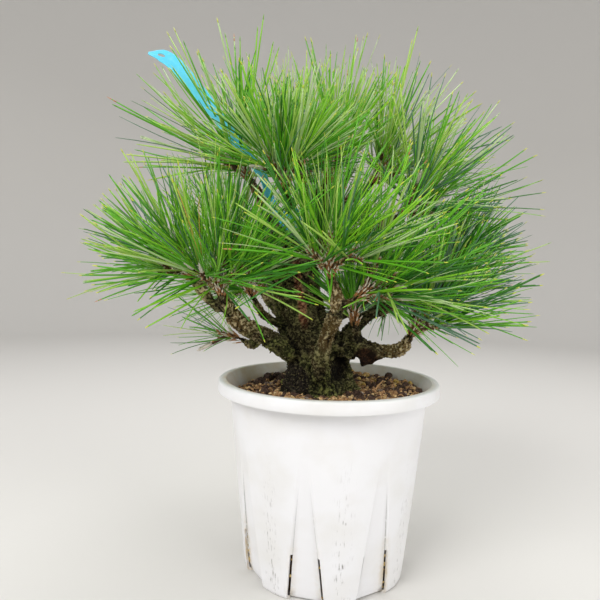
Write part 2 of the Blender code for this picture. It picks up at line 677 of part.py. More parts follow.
def needles_of(index, mass, candles, spaces, solids):
    """The needles of one mass: a golden-angle fan round each candle, wide at its foot."""
    rng = random.Random(NEEDLE_SEED + index)
    each = mass.needles // len(candles)
    opening = NEEDLE_TIP_ANGLE - NEEDLE_LOW_ANGLE
    lowest = needle_droop(mass)
    needles = []
    taken = np.full((1, 3), -1.0)
    for knee, end, out in candles:
        for number in range(each):
            for _ in range(NEEDLE_TRIES):
                along = (number + rng.random()) / each
                angle = NEEDLE_LOW_ANGLE + opening * along ** NEEDLE_FAN_CURVE
                angle = max(NEEDLE_LEAST_ANGLE, angle + rng.uniform(-1, 1) * NEEDLE_JITTER)
                turn = number * GOLDEN_ANGLE + rng.uniform(-1, 1) * NEEDLE_TURN_JITTER
                aim = turned_aside(out, angle, turn) + Vector((0, 0, NEEDLE_LIFT))
                aim.normalize()
                root = knee.lerp(end, NEEDLE_FIRST + (NEEDLE_LAST - NEEDLE_FIRST) * along)
                length = mass.length * MM * rng.uniform(NEEDLE_SHORTEST, 1.0)
                tip = root + aim * length
                samples = line_samples(root + aim * SAMPLE_STEP, tip)
                beyond_root = line_samples(root + aim * ROOT_ZONE, tip)
                if (aim.z > lowest and distances(beyond_root, taken).min() > NEEDLE_APART
                        and is_free(samples, index, spaces, solids)):
                    needles.append((root - aim * NEEDLE_SINK, tip))
                    taken = np.vstack((taken, beyond_root))
                    break
    return needles


def add_rod(name, rod, sides, collection):
    """A straight tapering rod between two points, with flat ends."""
    start, end, low, high = rod
    line = end - start
    place = (Matrix.Translation((start + end) / 2)
             @ line.to_track_quat("Z", "Y").to_matrix().to_4x4())
    bm = bmesh.new()
    bmesh.ops.create_cone(bm, cap_ends=True, segments=sides, radius1=low, radius2=high,
                          depth=line.length, matrix=place)
    return add_object(name, mesh_from(bm, name), collection)


def add_needle(name, start, end, collection):
    """A needle as a three-sided sliver, widest at its middle."""
    line = end - start
    turn = line.to_track_quat("Z", "Y").to_matrix().to_4x4()
    bm = bmesh.new()
    bmesh.ops.create_uvsphere(bm, u_segments=3, v_segments=2, radius=1.0)
    bmesh.ops.scale(bm, verts=bm.verts, vec=(NEEDLE_RADIUS, NEEDLE_RADIUS, line.length / 2))
    bmesh.ops.transform(bm, matrix=Matrix.Translation((start + end) / 2) @ turn, verts=bm.verts)
    return add_object(name, mesh_from(bm, name), collection)


def make_masses(limbs, tag, collection, others):
    """Every needle mass: its stem, twigs, candles and needles joined into one solid."""
    green = material("Living pine needle", (0.07, 0.22, 0.02), 0.45)
    plans = [plan_mass(index, mass, limbs) for index, mass in enumerate(MASSES)]
    spaces = crown_spaces(plans)
    solids = solid_samples(limbs, tag)
    for index, (mass, (rods, candles)) in enumerate(zip(MASSES, plans)):
        stem = add_rod(mass.name, rods[0], STEM_SIDES, collection)
        stem.data.materials.append(green)
        for number, rod in enumerate(rods[1:]):
            add_rod(f"twig_{number}", rod, SHOOT_SIDES, others)
        needles = needles_of(index, mass, candles, spaces, solids)
        for number, (start, end) in enumerate(needles):
            add_needle(f"needle_{number}", start, end, others)
        combine(stem, others, "UNION")


def main():
    for item in list(bpy.data.objects):
        bpy.data.objects.remove(item)
    scene = bpy.context.scene.collection
    plant = bpy.data.collections.new("Black pine bonsai")
    cutters = bpy.data.collections.new("Cutters")
    scene.children.link(plant)
    scene.children.link(cutters)
    make_pot(plant, cutters)
    make_soil(plant)
    limbs = make_limbs(plant, cutters)
    tag = make_tag(limbs, plant)
    make_masses(limbs, tag, plant, cutters)


main()
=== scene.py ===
"""Dresses a potted black pine bonsai: pot, soil, bark, shoots, needles and tag, in metres, +Z up.

The tree grows again here by the rule of the part's source, carried on to finer shoots, so every
needle stays within the reach of the solids that it replaces.
"""
import json
import math
import random
from collections import namedtuple

import bmesh
import bpy
import numpy as np
from mathutils import Matrix, Vector, kdtree, noise

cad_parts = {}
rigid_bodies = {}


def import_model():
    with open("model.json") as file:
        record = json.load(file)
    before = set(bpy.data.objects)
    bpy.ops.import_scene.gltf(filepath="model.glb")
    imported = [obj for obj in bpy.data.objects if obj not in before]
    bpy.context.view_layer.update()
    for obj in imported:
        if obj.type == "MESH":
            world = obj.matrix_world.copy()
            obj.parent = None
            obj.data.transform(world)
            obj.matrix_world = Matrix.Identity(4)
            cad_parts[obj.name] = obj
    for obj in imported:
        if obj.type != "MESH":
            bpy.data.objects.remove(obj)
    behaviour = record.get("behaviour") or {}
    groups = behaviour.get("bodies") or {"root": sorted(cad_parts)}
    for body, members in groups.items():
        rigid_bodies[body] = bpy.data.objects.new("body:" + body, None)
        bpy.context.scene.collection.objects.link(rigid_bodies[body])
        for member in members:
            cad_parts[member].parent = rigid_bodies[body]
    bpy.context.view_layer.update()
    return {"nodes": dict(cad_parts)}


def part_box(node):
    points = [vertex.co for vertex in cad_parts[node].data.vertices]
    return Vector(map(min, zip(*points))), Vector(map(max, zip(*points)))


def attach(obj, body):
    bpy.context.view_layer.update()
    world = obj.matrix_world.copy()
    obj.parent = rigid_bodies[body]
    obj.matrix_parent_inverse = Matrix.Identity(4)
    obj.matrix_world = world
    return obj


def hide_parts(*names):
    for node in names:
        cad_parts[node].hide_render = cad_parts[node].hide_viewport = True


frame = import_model()

bl_info = {
    "name": "Black pine bonsai",
    "version": (1, 0, 0),
    "blender": (4, 5, 0),
    "location": "View3D > Sidebar > Bonsai",
    "description": "Grows the bark, shoots and needles of a black pine bonsai in its nursery pot",
    "category": "Add Mesh",
}

MM = 0.001
GAP = 0.3 * MM
GOLDEN_ANGLE = math.pi * (3 - math.sqrt(5))

# Trunk and boughs, as in the part's source: bends of the middle lines and radii in millimetres.
TRUNK_BENDS = ((-7.5, -2, 108), (-7.5, -2, 122), (-8, -1, 142), (-17.5, 1, 164), (-23, 2, 188),
               (-20, 4, 214), (-12, 7, 240), (-3, 9, 262))
TRUNK_RADII = (22.5, 22.0, 20.6, 16.6, 15.2, 11.5, 7.0, 3.8)
TRUNK_RINGS = 18
Bough = namedtuple("Bough", "name parent rooted bends tip root_radius tip_radius")
BOUGHS = (
    Bough("bough_front", "trunk", 0.06,
          ((-3, -19, 124), (-7.5, -29, 142), (-3, -33, 160), (3, -38, 180)),
          (-2.5, -44, 197), 6.6, 3.9),
    Bough("twig_front_right", "bough_front", 0.74, ((8, -39, 181),), (13, -40, 184), 2.9, 2.5),
    Bough("bough_left", "trunk", 0.24, ((-38, -18, 155), (-60, -29, 168)),
          (-69, -35, 184), 7.6, 4.4),
    Bough("twig_left_outer", "bough_left", 0.80, ((-76, -33, 180),), (-88, -31, 195), 3.6, 2.8),
    Bough("twig_left_inner", "trunk", 0.38, ((-42, -10, 169),), (-52, -13, 183), 3.6, 2.7),
    Bough("twig_left_low", "bough_left", 0.45, ((-52, -8, 151),), (-60, -1, 153), 3.4, 2.6),
    Bough("bough_right", "trunk", 0.22, ((13, -13, 153), (33, -19, 149.5), (46, -20, 151.5)),
          (51.5, -21, 160), 6.6, 3.2),
    Bough("twig_right_inner", "bough_right", 0.36, ((17, -15, 161),), (16, -15, 165), 3.8, 2.7),
    Bough("bough_right_back", "trunk", 0.27, ((24, 16, 166), (58, 18, 187)),
          (73, 12, 201), 5.2, 3.6),
    Bough("twig_right_low", "bough_right_back", 0.66, ((63, 11, 176),), (68, 6, 180), 3.4, 2.6),
    Bough("bough_right_middle", "trunk", 0.68, ((18, 4, 226),), (46, 2, 240), 4.6, 3.2),
    Bough("bough_upper_left", "trunk", 0.60, ((-38, 0, 231),), (-56, 0, 262), 5.4, 3.4),
    Bough("twig_upper_front", "trunk", 0.66, ((-26, -13, 231),), (-31, -25, 252), 4.4, 3.0),
    Bough("bough_top_right", "trunk", 0.80, ((8, 12, 248),), (28, 15, 264), 4.0, 2.9),
    Bough("bough_left_back", "trunk", 0.50, ((-44, 16, 204),), (-64, 32, 216), 5.4, 3.4),
    Bough("bough_back_left", "trunk", 0.36, ((-36, 26, 172),), (-50, 48, 186), 5.4, 3.4),
    Bough("bough_back", "trunk", 0.55, ((-12, 28, 206),), (-4, 56, 222), 5.2, 3.3),
    Bough("bough_back_right", "trunk", 0.42, ((13, 27, 172),), (41, 50, 182), 5.4, 3.4),
    Bough("bough_back_high", "trunk", 0.76, ((-15, 24, 246),), (-20, 38, 266), 3.8, 2.8),
)
BOUGH_RINGS = 7
LIMB_NODES = ("trunk", *(bough.name for bough in BOUGHS))

# Needle masses, as in the part's source: limb, lean, shoots, fan in degrees and needle length in
# millimetres, which is a little less here at the front, the upper front and the right. The last two
# columns are the dressed tree's own: how full of needles each shoot is, and the steepest fall of
# its needles.
Mass = namedtuple("Mass", "name limb lean shoots fan length fullness lowest")
MASSES = (
    Mass("needles_front", "bough_front", (0.04, -0.42, 1.0), 4, 50, 72, 1.05, -0.32),
    Mass("needles_front_right", "twig_front_right", (0.95, -0.42, 0.50), 3, 36, 78, 1.10, -0.50),
    Mass("needles_left_front", "bough_left", (0.0, -0.50, 1.0), 4, 46, 79, 1.20, -0.50),
    Mass("needles_left_outer", "twig_left_outer", (-0.95, -0.22, 0.42), 4, 40, 64, 0.90, -0.28),
    Mass("needles_left_inner", "twig_left_inner", (-0.1, 0.1, 1.0), 2, 36, 54, 1.10, -0.25),
    Mass("needles_left_low", "twig_left_low", (-0.95, 0.22, 0.02), 1, 0, 46, 0.45, -0.16),
    Mass("needles_right", "bough_right", (0.55, -0.42, 0.75), 3, 46, 72, 1.20, 0.12),
    Mass("needles_right_inner", "twig_right_inner", (0.0, 0.18, 1.0), 2, 34, 52, 1.30, -0.35),
    Mass("needles_right_low", "twig_right_low", (0.85, -0.30, 0.22), 3, 38, 62, 0.85, 0.16),
    Mass("needles_right_outer", "bough_right_back", (0.95, -0.10, 0.42), 4, 40, 61, 0.95, 0.08),
    Mass("needles_right_middle", "bough_right_middle", (0.80, -0.28, 0.58), 4, 42, 74, 0.90, -0.12),
    Mass("needles_upper_left", "bough_upper_left", (-0.68, -0.05, 0.80), 4, 38, 80, 0.75, -0.16),
    Mass("needles_upper_front", "twig_upper_front", (-0.06, -0.24, 1.0), 4, 36, 65, 1.50, -0.45),
    Mass("needles_top", "trunk", (0.05, 0.10, 1.0), 4, 34, 78, 1.05, 0.00),
    Mass("needles_top_right", "bough_top_right", (0.62, 0.12, 0.80), 4, 36, 80, 0.90, -0.10),
    Mass("needles_left_back", "bough_left_back", (-0.60, 0.68, 0.48), 3, 38, 72, 0.90, -0.30),
    Mass("needles_back_left", "bough_back_left", (-0.50, 0.82, 0.15), 4, 42, 72, 1.80, -0.56),
    Mass("needles_back", "bough_back", (-0.05, 0.92, 0.48), 4, 42, 72, 1.90, -0.70),
    Mass("needles_back_right", "bough_back_right", (0.55, 0.80, 0.12), 4, 42, 72, 1.80, -0.50),
    Mass("needles_back_high", "bough_back_high", (-0.22, 0.62, 0.85), 4, 38, 78, 0.90, -0.20),
)
MASS_NODES = tuple(mass.name for mass in MASSES)
PLAN_SEED = 100
STEM_LENGTH = 3 * MM
STEM_TAPER = 0.85
TWIG_LENGTH = 8 * MM
CANDLE_LENGTH = 17 * MM
FULL_SHOOT_NEEDLE = 76
SHOOT_RADIUS = 2.6 * MM
SHOOT_RISE = 0.15
CANDLE_TIP_RADIUS = 1.7 * MM
NEEDLE_LOW_ANGLE = math.radians(74)
NEEDLE_TIP_ANGLE = math.radians(10)
NEEDLE_LEAST_ANGLE = math.radians(1)
NEEDLE_FAN_CURVE = 0.9
NEEDLE_JITTER = math.radians(9)
NEEDLE_LIFT = 0.16
SPACE_REACHES = (0.0, 0.30, 0.62)

# Finer growth, which only the dressed tree has: a side shoot on each shoot, where on a shoot the
# needles start, and what they keep clear of.
FINE_SEED = 900
SIDE_ANGLE = math.radians(42)
SIDE_LENGTH = 12 * MM
SIDE_RADIUS = 1.25 * MM
SIDE_PAIRS = 0.45
SIDE_NEEDLE = 0.88
FIRST_NEEDLES = 0.35
SPACE_OVERLAP = 15 * MM
LIMB_CLEARANCE = 1.0 * MM
TAG_CLEARANCE = 2.1 * MM
RIM_CLEARANCE = 16 * MM
NEEDLE_TRIES = 8
SAMPLE_SHARES = np.linspace(0.08, 1.0, 9)

# Dry parts: how many old sheaths bristle from the foot of a mass with four shoots, how far along
# them, how many from each shoot, and how often a shoot has a bud.
COLLAR_BRISTLES = 46
COLLAR_REACH = 5 * MM
FEW_BRISTLES = 4
BUD_CHANCE = 0.5

# Needles: their section, their rings along the length with the girth of each, the same for the
# tips, and how many needles have a yellow or a dry tip.
NEEDLE_PROFILE = ((1.0, 0.0), (0.0, 0.55), (-1.0, 0.0), (0.0, -0.30))
NEEDLE_SHARES = np.array((0.0, 0.14, 0.36, 0.60, 0.82, 0.965))
NEEDLE_GIRTHS = np.array((0.55, 0.88, 1.0, 0.98, 0.88, 0.62))
TIP_SHARES = np.array((0.965, 0.985, 1.0))
TIP_GIRTHS = np.array((0.62, 0.48, 0.14))
DRY_TIP_SHARES = np.array((0.93, 0.97, 1.0))
YELLOW_TIPS = 0.5
DRY_TIPS = 0.022

# Tints of the needles, which paint light and shade into the crown: name, colour, and how they are
# dealt out by weight in sun, in shade, at the crown's top and on its right. Bright and lime are
# painted light, pale is a painted sheen at the top, deep and the blue-grey tint are painted shade.
NEEDLE_TINTS = (
    ("bright", "#84c426", 5.0, 1.4, 0.0, 0.0),
    ("green", "#5eaa1c", 5.5, 5.5, 0.0, 0.0),
    ("deep", "#347818", 1.0, 4.6, 0.0, 0.5),
    ("cool", "#598263", 0.1, 0.7, 0.3, 4.2),
    ("lime", "#a8cd5c", 2.2, 0.3, 3.5, 0.5),
    ("pale", "#b4cf8e", 0.5, 0.1, 4.6, 1.0),
    ("old", "#c2a04a", 0.02, 0.03, 0.0, 0.0),
)
# Where the sun lies and how far the crown reaches, for the painted light and shade of the needles'
# tints.
SUN_SIDE = Vector((-0.45, -0.45, 0.77))
CROWN_FOOT = 170 * MM
CROWN_DEPTH = 120 * MM
CROWN_SIDE = 90 * MM

# Bract scales on the shoots: tint, colour, how many on each shoot.
SCALES = (("brown", "#5c4630", 16), ("tan", "#8c7150", 6), ("pale", "#bdb08c", 2))

# Dry sheaths: how long they are as a share of the longest, and their two parts, with tint, colour,
# and how far along and how thick each ring is.
SHEATH_SHARES = (0.4, 0.9)
SHEATH_PARTS = (
    ("brown", "#b07e50", (-0.1, 0.15, 0.38, 0.55), (0.8, 1, 1, 0.9)),
    ("pale", "#e4dac6", (0.50, 0.66, 0.85, 1.0), (0.95, 0.9, 0.7, 0.3)),
)

# Bark: what its material reads, how closely limbs are followed, the sizes of its pattern on the
# trunk, the share of its length that a plate or fissure is squashed to, how far the pattern wanders,
# the crease where one limb grows from another, how much thin limbs are slimmed, and the hollow at
# the foot. The crease and the hollow are also darkened with painted shade.
BARK_NOTES = ("plate", "tone", "twig", "moss", "scar", "dead", "flap")
BARK_SEED = 5
LIMB_SPOT_STEPS = 3
FISSURE_SPACING = 8.5 * MM
FISSURE_STRETCH = 0.3
PLATE_STRETCH = 0.5
CRUMB_SPACING = 1.3 * MM
SWELL_SPACING = 13 * MM
WANDER_SPACING = 6 * MM
WANDER = 1.6 * MM
CREASE_WIDTH = 3.2 * MM
CREASE_DEPTH = 2.0 * MM
SLIMMING = 1.3 * MM
HOLLOW_DEPTH = 3 * MM

# The flap of cork under the right bough: smooth, with slow lumps.
FLAP_BOUGH = "bough_right"
FLAP_PLACE = 0.39
FLAP_SHIFT = Vector((0, 0, -7.5)) * MM
FLAP_REACH = 9.5 * MM
FLAP_LUMP = 2.2 * MM
FLAP_LUMP_SPACING = 5.5 * MM

# A corky burr on the trunk's right, beside the flap of cork under the right bough.
BURR_PATH = ((0, -9, 150), (9, -13, 147), (14, -15, 142))
BURR_RADII = (8.5, 7.0, 4.8)

# Loose flakes: how many places on the bark are tried, and their largest length and half width.
LOOSE_FLAKES = 4600
FLAKE_SEED = 31
FLAKE_LENGTH = 2.6 * MM
FLAKE_WIDTH = 0.7 * MM

# Pot, as in the part's source, with its height and rim read from the frame.
POT_LOW, POT_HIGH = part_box("pot")
POT_HEIGHT = POT_HIGH.z
RIM_RADIUS = (POT_HIGH.x - POT_LOW.x) / 2
RIM_DROP = 7.8 * MM
RIM_CORNER = 0.15 * MM
RIM_EDGE = 0.5 * MM
RIM_THROAT = RIM_RADIUS - 4 * MM
NECK_RADIUS = RIM_RADIUS - 8.2 * MM
NECK_LEVEL = POT_HEIGHT - 9.5 * MM
FOOT_RADIUS = 54.8 * MM
FOOT_ROUND = 1.8 * MM
FOOT_STEP = 3 * MM
FLOOR_RADIUS = 38 * MM
WALL = 1.6 * MM
PANELS = 8
PANEL_PITCH = 2 * math.pi / PANELS
PANEL_TURN = math.radians(30.2)
PANEL_HALF_ANGLE = math.radians(11)
PANEL_APEX_ANGLE = math.radians(1.2)
PANEL_EDGE_ANGLE = math.radians(1.3)
PANEL_DEPTH = 2.2 * MM
PANEL_TOP = 92 * MM
SLIT_HEIGHT = 30 * MM
FOOT_CREASE = 0.4 * MM
CORNER_ANGLE = math.radians(0.28)
PANEL_STATIONS = 6
FOOT_STATIONS = 11

# Dirt: how dirty the left and right flank of each panel is, how high and wide the dark line at
# the panels' corners is, which is painted shade of the crisp edge as well as dirt in the seam,
# how stains spread in and outside the panels, and how wide the scuffs on the feet are.
POT_NOTES = ("stain", "seam", "scuff", "grime")
PANEL_DIRT = ((0.0, 0.8), (0.3, 0.1), (0.5, 0.2), (0.1, 0.4), (0.6, 0.3), (0.2, 0.5), (1.0, 0.1),
              (0.45, 0.3))
SEAM_TOP = 74 * MM
SEAM_FADE = 20 * MM
SEAM_WIDTH = 0.22 * MM
STAIN_EDGE = 0.6 * MM
STAIN_INSIDE = 2.0 * MM
STAIN_OUTSIDE = 0.4 * MM
STAIN_FADE = 26 * MM
SCUFF_WIDTH = 4 * MM
SCUFF_FADE = 62 * MM

# Soil: its level is the foot of the trunk, and it fills the pot to just clear of the wall.
SOIL_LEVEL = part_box("trunk")[0].z - GAP
SOIL_RADIUS = 64 * MM
SOIL_FOOT_RADIUS = 49 * MM
SOIL_FLOOR = 2.6 * MM
SOIL_HEAP = 3.4 * MM
SOIL_DIP = 3.5 * MM
SOIL_LUMP = 1.2 * MM
SOIL_SEED = 7
SOIL_RINGS = 22
SOIL_SIDE_RINGS = 12
SOIL_AROUND = 120
TRUNK_FOOT = Vector((-9, -4, 0)) * MM
TRUNK_FOOT_RADIUS = 19 * MM

# Soil crumbs: tint, light and dark colour, share of all crumbs, smallest and largest as a share of
# the grit size. For each large crumb there are five small ones.
CRUMBS = (
    ("brown", "#c69c6e", "#735236", 0.38, 0.18, 1.12),
    ("dark", "#60493d", "#2b1f18", 0.15, 0.30, 1.50),
    ("tan", "#f0d09a", "#b08858", 0.36, 0.14, 0.84),
    ("grey", "#b3a294", "#65564c", 0.08, 0.16, 0.95),
    ("cream", "#f0e0b4", "#c8aa80", 0.10, 0.12, 0.48),
)
SMALL_CRUMBS = 5
SLIT_CRUMBS = 7
# Large pieces of fallen bark: place in millimetres, level of the middle above the soil, half size.
BARK_CHUNKS = ((-43, 26, 3.4, 5.0), (-37, 31, 2.6, 4.4), (-48, 18, 1.6, 4.2), (-33, 25, 2.0, 4.2),
               (-30, -33, 0.4, 2.8), (14, -38, 0.3, 3.0), (44, -30, 0.5, 3.2), (52, -8, 0.6, 3.0),
               (24, 40, 0.8, 3.6), (-4, 48, 0.8, 3.8), (46, 26, 0.8, 3.0), (-20, -44, 0.2, 2.6))
BEADS = 26
BEAD_SECTOR = (95, 165)
FIBRES = 60
FALLEN_NEEDLE = ((30.5, -18, 124), (33, -11, 125), (36, -4, 125.6), (38.6, 3, 126))

# Tag, as in the part's source: a strip looped once round a bough, its free end up in the air.
TAG_BOUGH = "twig_upper_front"
TAG_PLACE = 0.58
TAG_WIDTH = 10.5 * MM
TAG_THICKNESS = 0.5 * MM
TAG_LOOP_CLEARANCE = 0.6 * MM
TAG_GRIP = 0.08
TAG_LOOP_START = math.radians(25)
TAG_LOOP_SWEEP = math.radians(400)
TAG_LOOP_GROWTH = 2.2 * MM
TAG_LOOP_STEPS = 36
TAG_RUN = ((-41, -17, 247), (-47, -15, 263), (-61, -14, 281), (-84, -12, 310), (-103, -11, 332),
           (-113, -11, 339.5), (-123, -12, 341))
TAG_RUN_STEPS = 60
TAG_TURN_STEPS = 15
TAG_TWIST = math.radians(75)
TAG_CURL = math.radians(62)
TAG_CURL_STEPS = 18
TAG_TIP_WIDTH = 0.22
TAG_TIP_LENGTH = 9 * MM
TAG_COLUMNS = 6

# Lights: name, place and size in metres, and power as a share of the key light's.
LIGHTS = (
    ("key_light", (-0.75, -0.95, 1.15), 0.8, 1.0),
    ("fill_light", (1.0, -0.7, 0.7), 1.0, 0.5),
    ("left_light", (-1.3, -0.2, 0.5), 0.8, 0.08),
    ("top_light", (0.15, 0.5, 1.4), 1.0, 0.6),
)
CROWN_MIDDLE = Vector((0, 0, 0.2))
SKY_COLOUR = (0.97, 0.97, 1.0)
SKY_STRENGTH = 0.42

# Paper floor in metres: flat out to a radius, then curved up, then a wall.
PAPER_FLAT = 1.5
PAPER_CURVE = 0.6
PAPER_TOP = 2.2
PAPER_STEPS = 10
PAPER_AROUND = 96

# Camera: it stands where the photograph was taken, worked out from the pot's rim and foot.
CAMERA_PLACE = Vector((-20.5, -362.9, 195.4)) * MM
CAMERA_PITCH = math.radians(2.25)
CAMERA_ROLL = math.radians(1.2)
CAMERA_LENS = 31.66


# Colour and material helpers

def linear(colour):
    """Linear red, green and blue of an sRGB hex colour; a setting's colour is linear already."""
    if not isinstance(colour, str):
        return tuple(colour)
    channels = [int(colour[i:i + 2], 16) / 255 for i in (1, 3, 5)]
    return tuple(c / 12.92 if c <= 0.04045 else ((c + 0.055) / 1.055) ** 2.4 for c in channels)


def add_node(tree, kind, inputs=None, output=0, **settings):
    """Add a shader node and give one of its outputs.

    Each input is a value, a colour, or another node's output to link.
    """
    node = tree.nodes.new("ShaderNode" + kind)
    for key, value in settings.items():
        setattr(node, key, value)
    for key, value in (inputs or {}).items():
        socket = node.inputs[key]
        if isinstance(value, bpy.types.NodeSocket):
            tree.links.new(value, socket)
        elif socket.type == "RGBA":
            socket.default_value = (*linear(value), 1)
        else:
            socket.default_value = value
    return node.outputs[output]


def new_material(name, colour, roughness, specular=0.5):
    """A Principled material with plain values, its node tree and its shader."""
    finish = bpy.data.materials.new(name)
    finish.use_nodes = True
    finish.diffuse_color = (*linear(colour), 1)
    shader = finish.node_tree.nodes["Principled BSDF"]
    shader.inputs["Base Color"].default_value = (*linear(colour), 1)
    shader.inputs["Roughness"].default_value = roughness
    shader.inputs["Specular IOR Level"].default_value = specular
    return finish, finish.node_tree, shader


def noted(tree, names):
    """The numbers that a mesh has stored under these names, for its material to read."""
    return {name: add_node(tree, "Attribute", output="Fac", attribute_name=name) for name in names}


def grain(tree, size_mm, detail=4, stretch=(1, 1, 1), roughness=0.5):
    """Noise whose lumps are about this many millimetres across, stretched along each axis."""
    place = add_node(tree, "TexCoord", output="Object")
    scale = [1 / (size_mm * MM * axis) for axis in stretch]
    place = add_node(tree, "Mapping", {"Vector": place, "Scale": scale})
    return add_node(tree, "TexNoise", {"Vector": place, "Scale": 1.0, "Detail": detail,
                                       "Roughness": roughness})


def patches(tree, size_mm, low, high, detail=4, stretch=(1, 1, 1), within=1.0):
    """Soft patches of about this size in millimetres, within places that are marked 0 to 1."""
    return add_node(tree, "MapRange", {"Value": grain(tree, size_mm, detail, stretch),
                                       "From Min": low, "From Max": high, "To Max": within})


def layered(tree, colour, layers):
    """A colour with others laid over it in turn, each as strong as its own share."""
    for share, over in layers:
        colour = add_node(tree, "Mix", {0: share, 6: colour, 7: over}, 2, data_type="RGBA")
    return colour


def paint(tree, shader, colour, height, depth_mm, strength=1.0):
    """Give the shader this colour, and a relief of this depth from the height pattern."""
    relief = add_node(tree, "Bump", {"Height": height, "Distance": depth_mm * MM,
                                     "Strength": strength})
    tree.links.new(colour, shader.inputs["Base Color"])
    tree.links.new(relief, shader.inputs["Normal"])


# Materials

def moulded_polypropylene(white):
    """White injection-moulded polypropylene: satin, faintly dusty, dirt at its slits, painted shade
    and dirt in its seams.
    """
    finish, tree, shader = new_material("Moulded polypropylene", white, 0.38)
    marks = noted(tree, POT_NOTES)
    # A real scuff is a hair wide: here it is drawn as coarse as the render can show.
    scuffed = patches(tree, 4, 0.44, 0.60, within=marks["scuff"])
    colour = layered(tree, white, (
        (patches(tree, 30, 0.45, 0.95), "#e3e1dd"),
        (patches(tree, 4, 0.28, 0.62, within=marks["stain"]), "#cdb27a"),
        (patches(tree, 0.9, 0.56, 0.66, 2, (1, 1, 14), scuffed), "#878380"),
        # Painted shade: a dark line along each panel's crisp corner, with dirt in the seam.
        (patches(tree, 2.2, 0.22, 0.44, 3, within=marks["seam"]), "#4d463d"),
        (patches(tree, 12, 0.2, 0.8, within=marks["grime"]), "#d0b896"),
    ))
    paint(tree, shader, colour, grain(tree, 24, 2), 0.05, 0.5)
    return finish


def corky_bark(light, dark, moss):
    """Living cork: matt crumbling flakes over black fissures, mossy low down, tan on the twigs;
    painted shade darkens the fissures, the creases between limbs and the hollow at the foot.
    """
    finish, tree, shader = new_material("Corky pine bark", light, 0.92, 0.2)
    marks = noted(tree, BARK_NOTES)
    fleck = grain(tree, 1.2, 3, roughness=0.65)
    tone = add_node(tree, "Math", {0: marks["tone"], 1: fleck}, operation="ADD")
    tone = add_node(tree, "MapRange", {"Value": tone, "From Min": 0.70, "From Max": 1.30})
    pale = add_node(tree, "MapRange", {"Value": fleck, "From Min": 0.56, "From Max": 0.66,
                                       "To Max": 0.6})
    # Painted shade: near black where the plate note is low, in the fissures over their own dark
    # bark, at the plates' edges, in the creases between limbs and in the hollow at the foot.
    sunk = add_node(tree, "MapRange", {"Value": marks["plate"], "From Min": 0.64, "From Max": 0.26})
    twig, green, red, black, brown = (
        layered(tree, shade, ((tone, flake),))
        for shade, flake in (("#67522f", "#e0cda0"), ("#2f3416", moss), ("#5e3423", "#bf8c68"),
                             ("#15110e", "#3d362e"), ("#1e120a", "#49311f")))
    colour = layered(tree, dark, (
        (tone, light),
        (marks["twig"], twig),
        (marks["moss"], green),
        (marks["scar"], red),
        # The dead note also darkens the hollow at the foot, as painted shade.
        (marks["dead"], black),
        (pale, "#9b9268"),
        (marks["flap"], brown),
        (sunk, "#120e09"),
    ))
    paint(tree, shader, colour, grain(tree, 0.9, 4, roughness=0.7), 0.8)
    return finish


def waxy_needle(tint, colour):
    """A pine needle's cuticle: smooth wax over living green, one plain colour for each tint."""
    finish, _, shader = new_material(f"Waxy needle, {tint}", colour, 0.38, 0.4)
    shader.inputs["Coat Weight"].default_value = 0.08
    shader.inputs["Coat Roughness"].default_value = 0.3
    return finish


def papery(name, colour, roughness=0.75):
    """Dry plant skin, such as scales, sheaths and straw: thin, matt, one plain colour."""
    return new_material(name, colour, roughness, 0.3)[0]


def resin_coat(name, colour):
    """The resin shell of a fertiliser bead: a dull shine, one plain colour."""
    return new_material(name, colour, 0.4, 0.3)[0]


def porous_grit(name, light, dark, size_mm):
    """Baked clay, loam or fallen bark: porous and matt, darker where it is moist."""
    finish, tree, shader = new_material(name, light, 0.88, 0.3)
    colour = layered(tree, dark, ((patches(tree, size_mm, 0.35, 0.65, 3), light),))
    paint(tree, shader, colour, grain(tree, size_mm / 3), 0.35)
    return finish


def polyethylene_strip(blue):
    """Extruded polyethylene strip: softly glossy, lets some light through, with lighter patches of
    painted highlight and faint rubbing.
    """
    finish, tree, shader = new_material("Polyethylene strip", blue, 0.34)
    shader.inputs["Subsurface Weight"].default_value = 0.4
    shader.inputs["Subsurface Radius"].default_value = (1, 1, 1)
    shader.inputs["Subsurface Scale"].default_value = 2 * MM
    # Lighter cyan patches: painted highlights, and faint rubbing.
    colour = layered(tree, blue, ((patches(tree, 3, 0.50, 0.74, within=0.45), "#8fdcf2"),))
    paint(tree, shader, colour, grain(tree, 1.2, 2), 0.05)
    return finish


def seamless_paper(colour):
    """Studio background paper: pale, dead matt."""
    return new_material("Seamless paper", colour, 0.95, 0.1)[0]


# Mesh helpers

def new_mesh(name, points, faces):
    """A mesh from points and faces."""
    mesh = bpy.data.meshes.new(name)
    mesh.from_pydata([tuple(point) for point in points], [], [tuple(face) for face in faces])
    mesh.update()
    return mesh


def add_piece(name, mesh, finish, nodes, smooth=True):
    """Link a mesh as one piece that rides on the plant and stands for these nodes."""
    piece = bpy.data.objects.new(name, mesh)
    bpy.context.scene.collection.objects.link(piece)
    mesh.materials.clear()
    mesh.materials.append(finish)
    if smooth:
        mesh.shade_smooth()
    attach(piece, "root")
    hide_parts(*nodes)


def applied(name, mesh, *modifiers):
    """The mesh with modifiers applied; each is a kind and a dict of its settings."""
    guide = bpy.data.objects.new(name, mesh)
    bpy.context.scene.collection.objects.link(guide)
    for kind, settings in modifiers:
        modifier = guide.modifiers.new(kind, kind)
        for key, value in settings.items():
            setattr(modifier, key, value)
    bpy.context.view_layer.update()
    graph = bpy.context.evaluated_depsgraph_get()
    result = bpy.data.meshes.new_from_object(guide.evaluated_get(graph))
    bpy.data.objects.remove(guide)
    return result


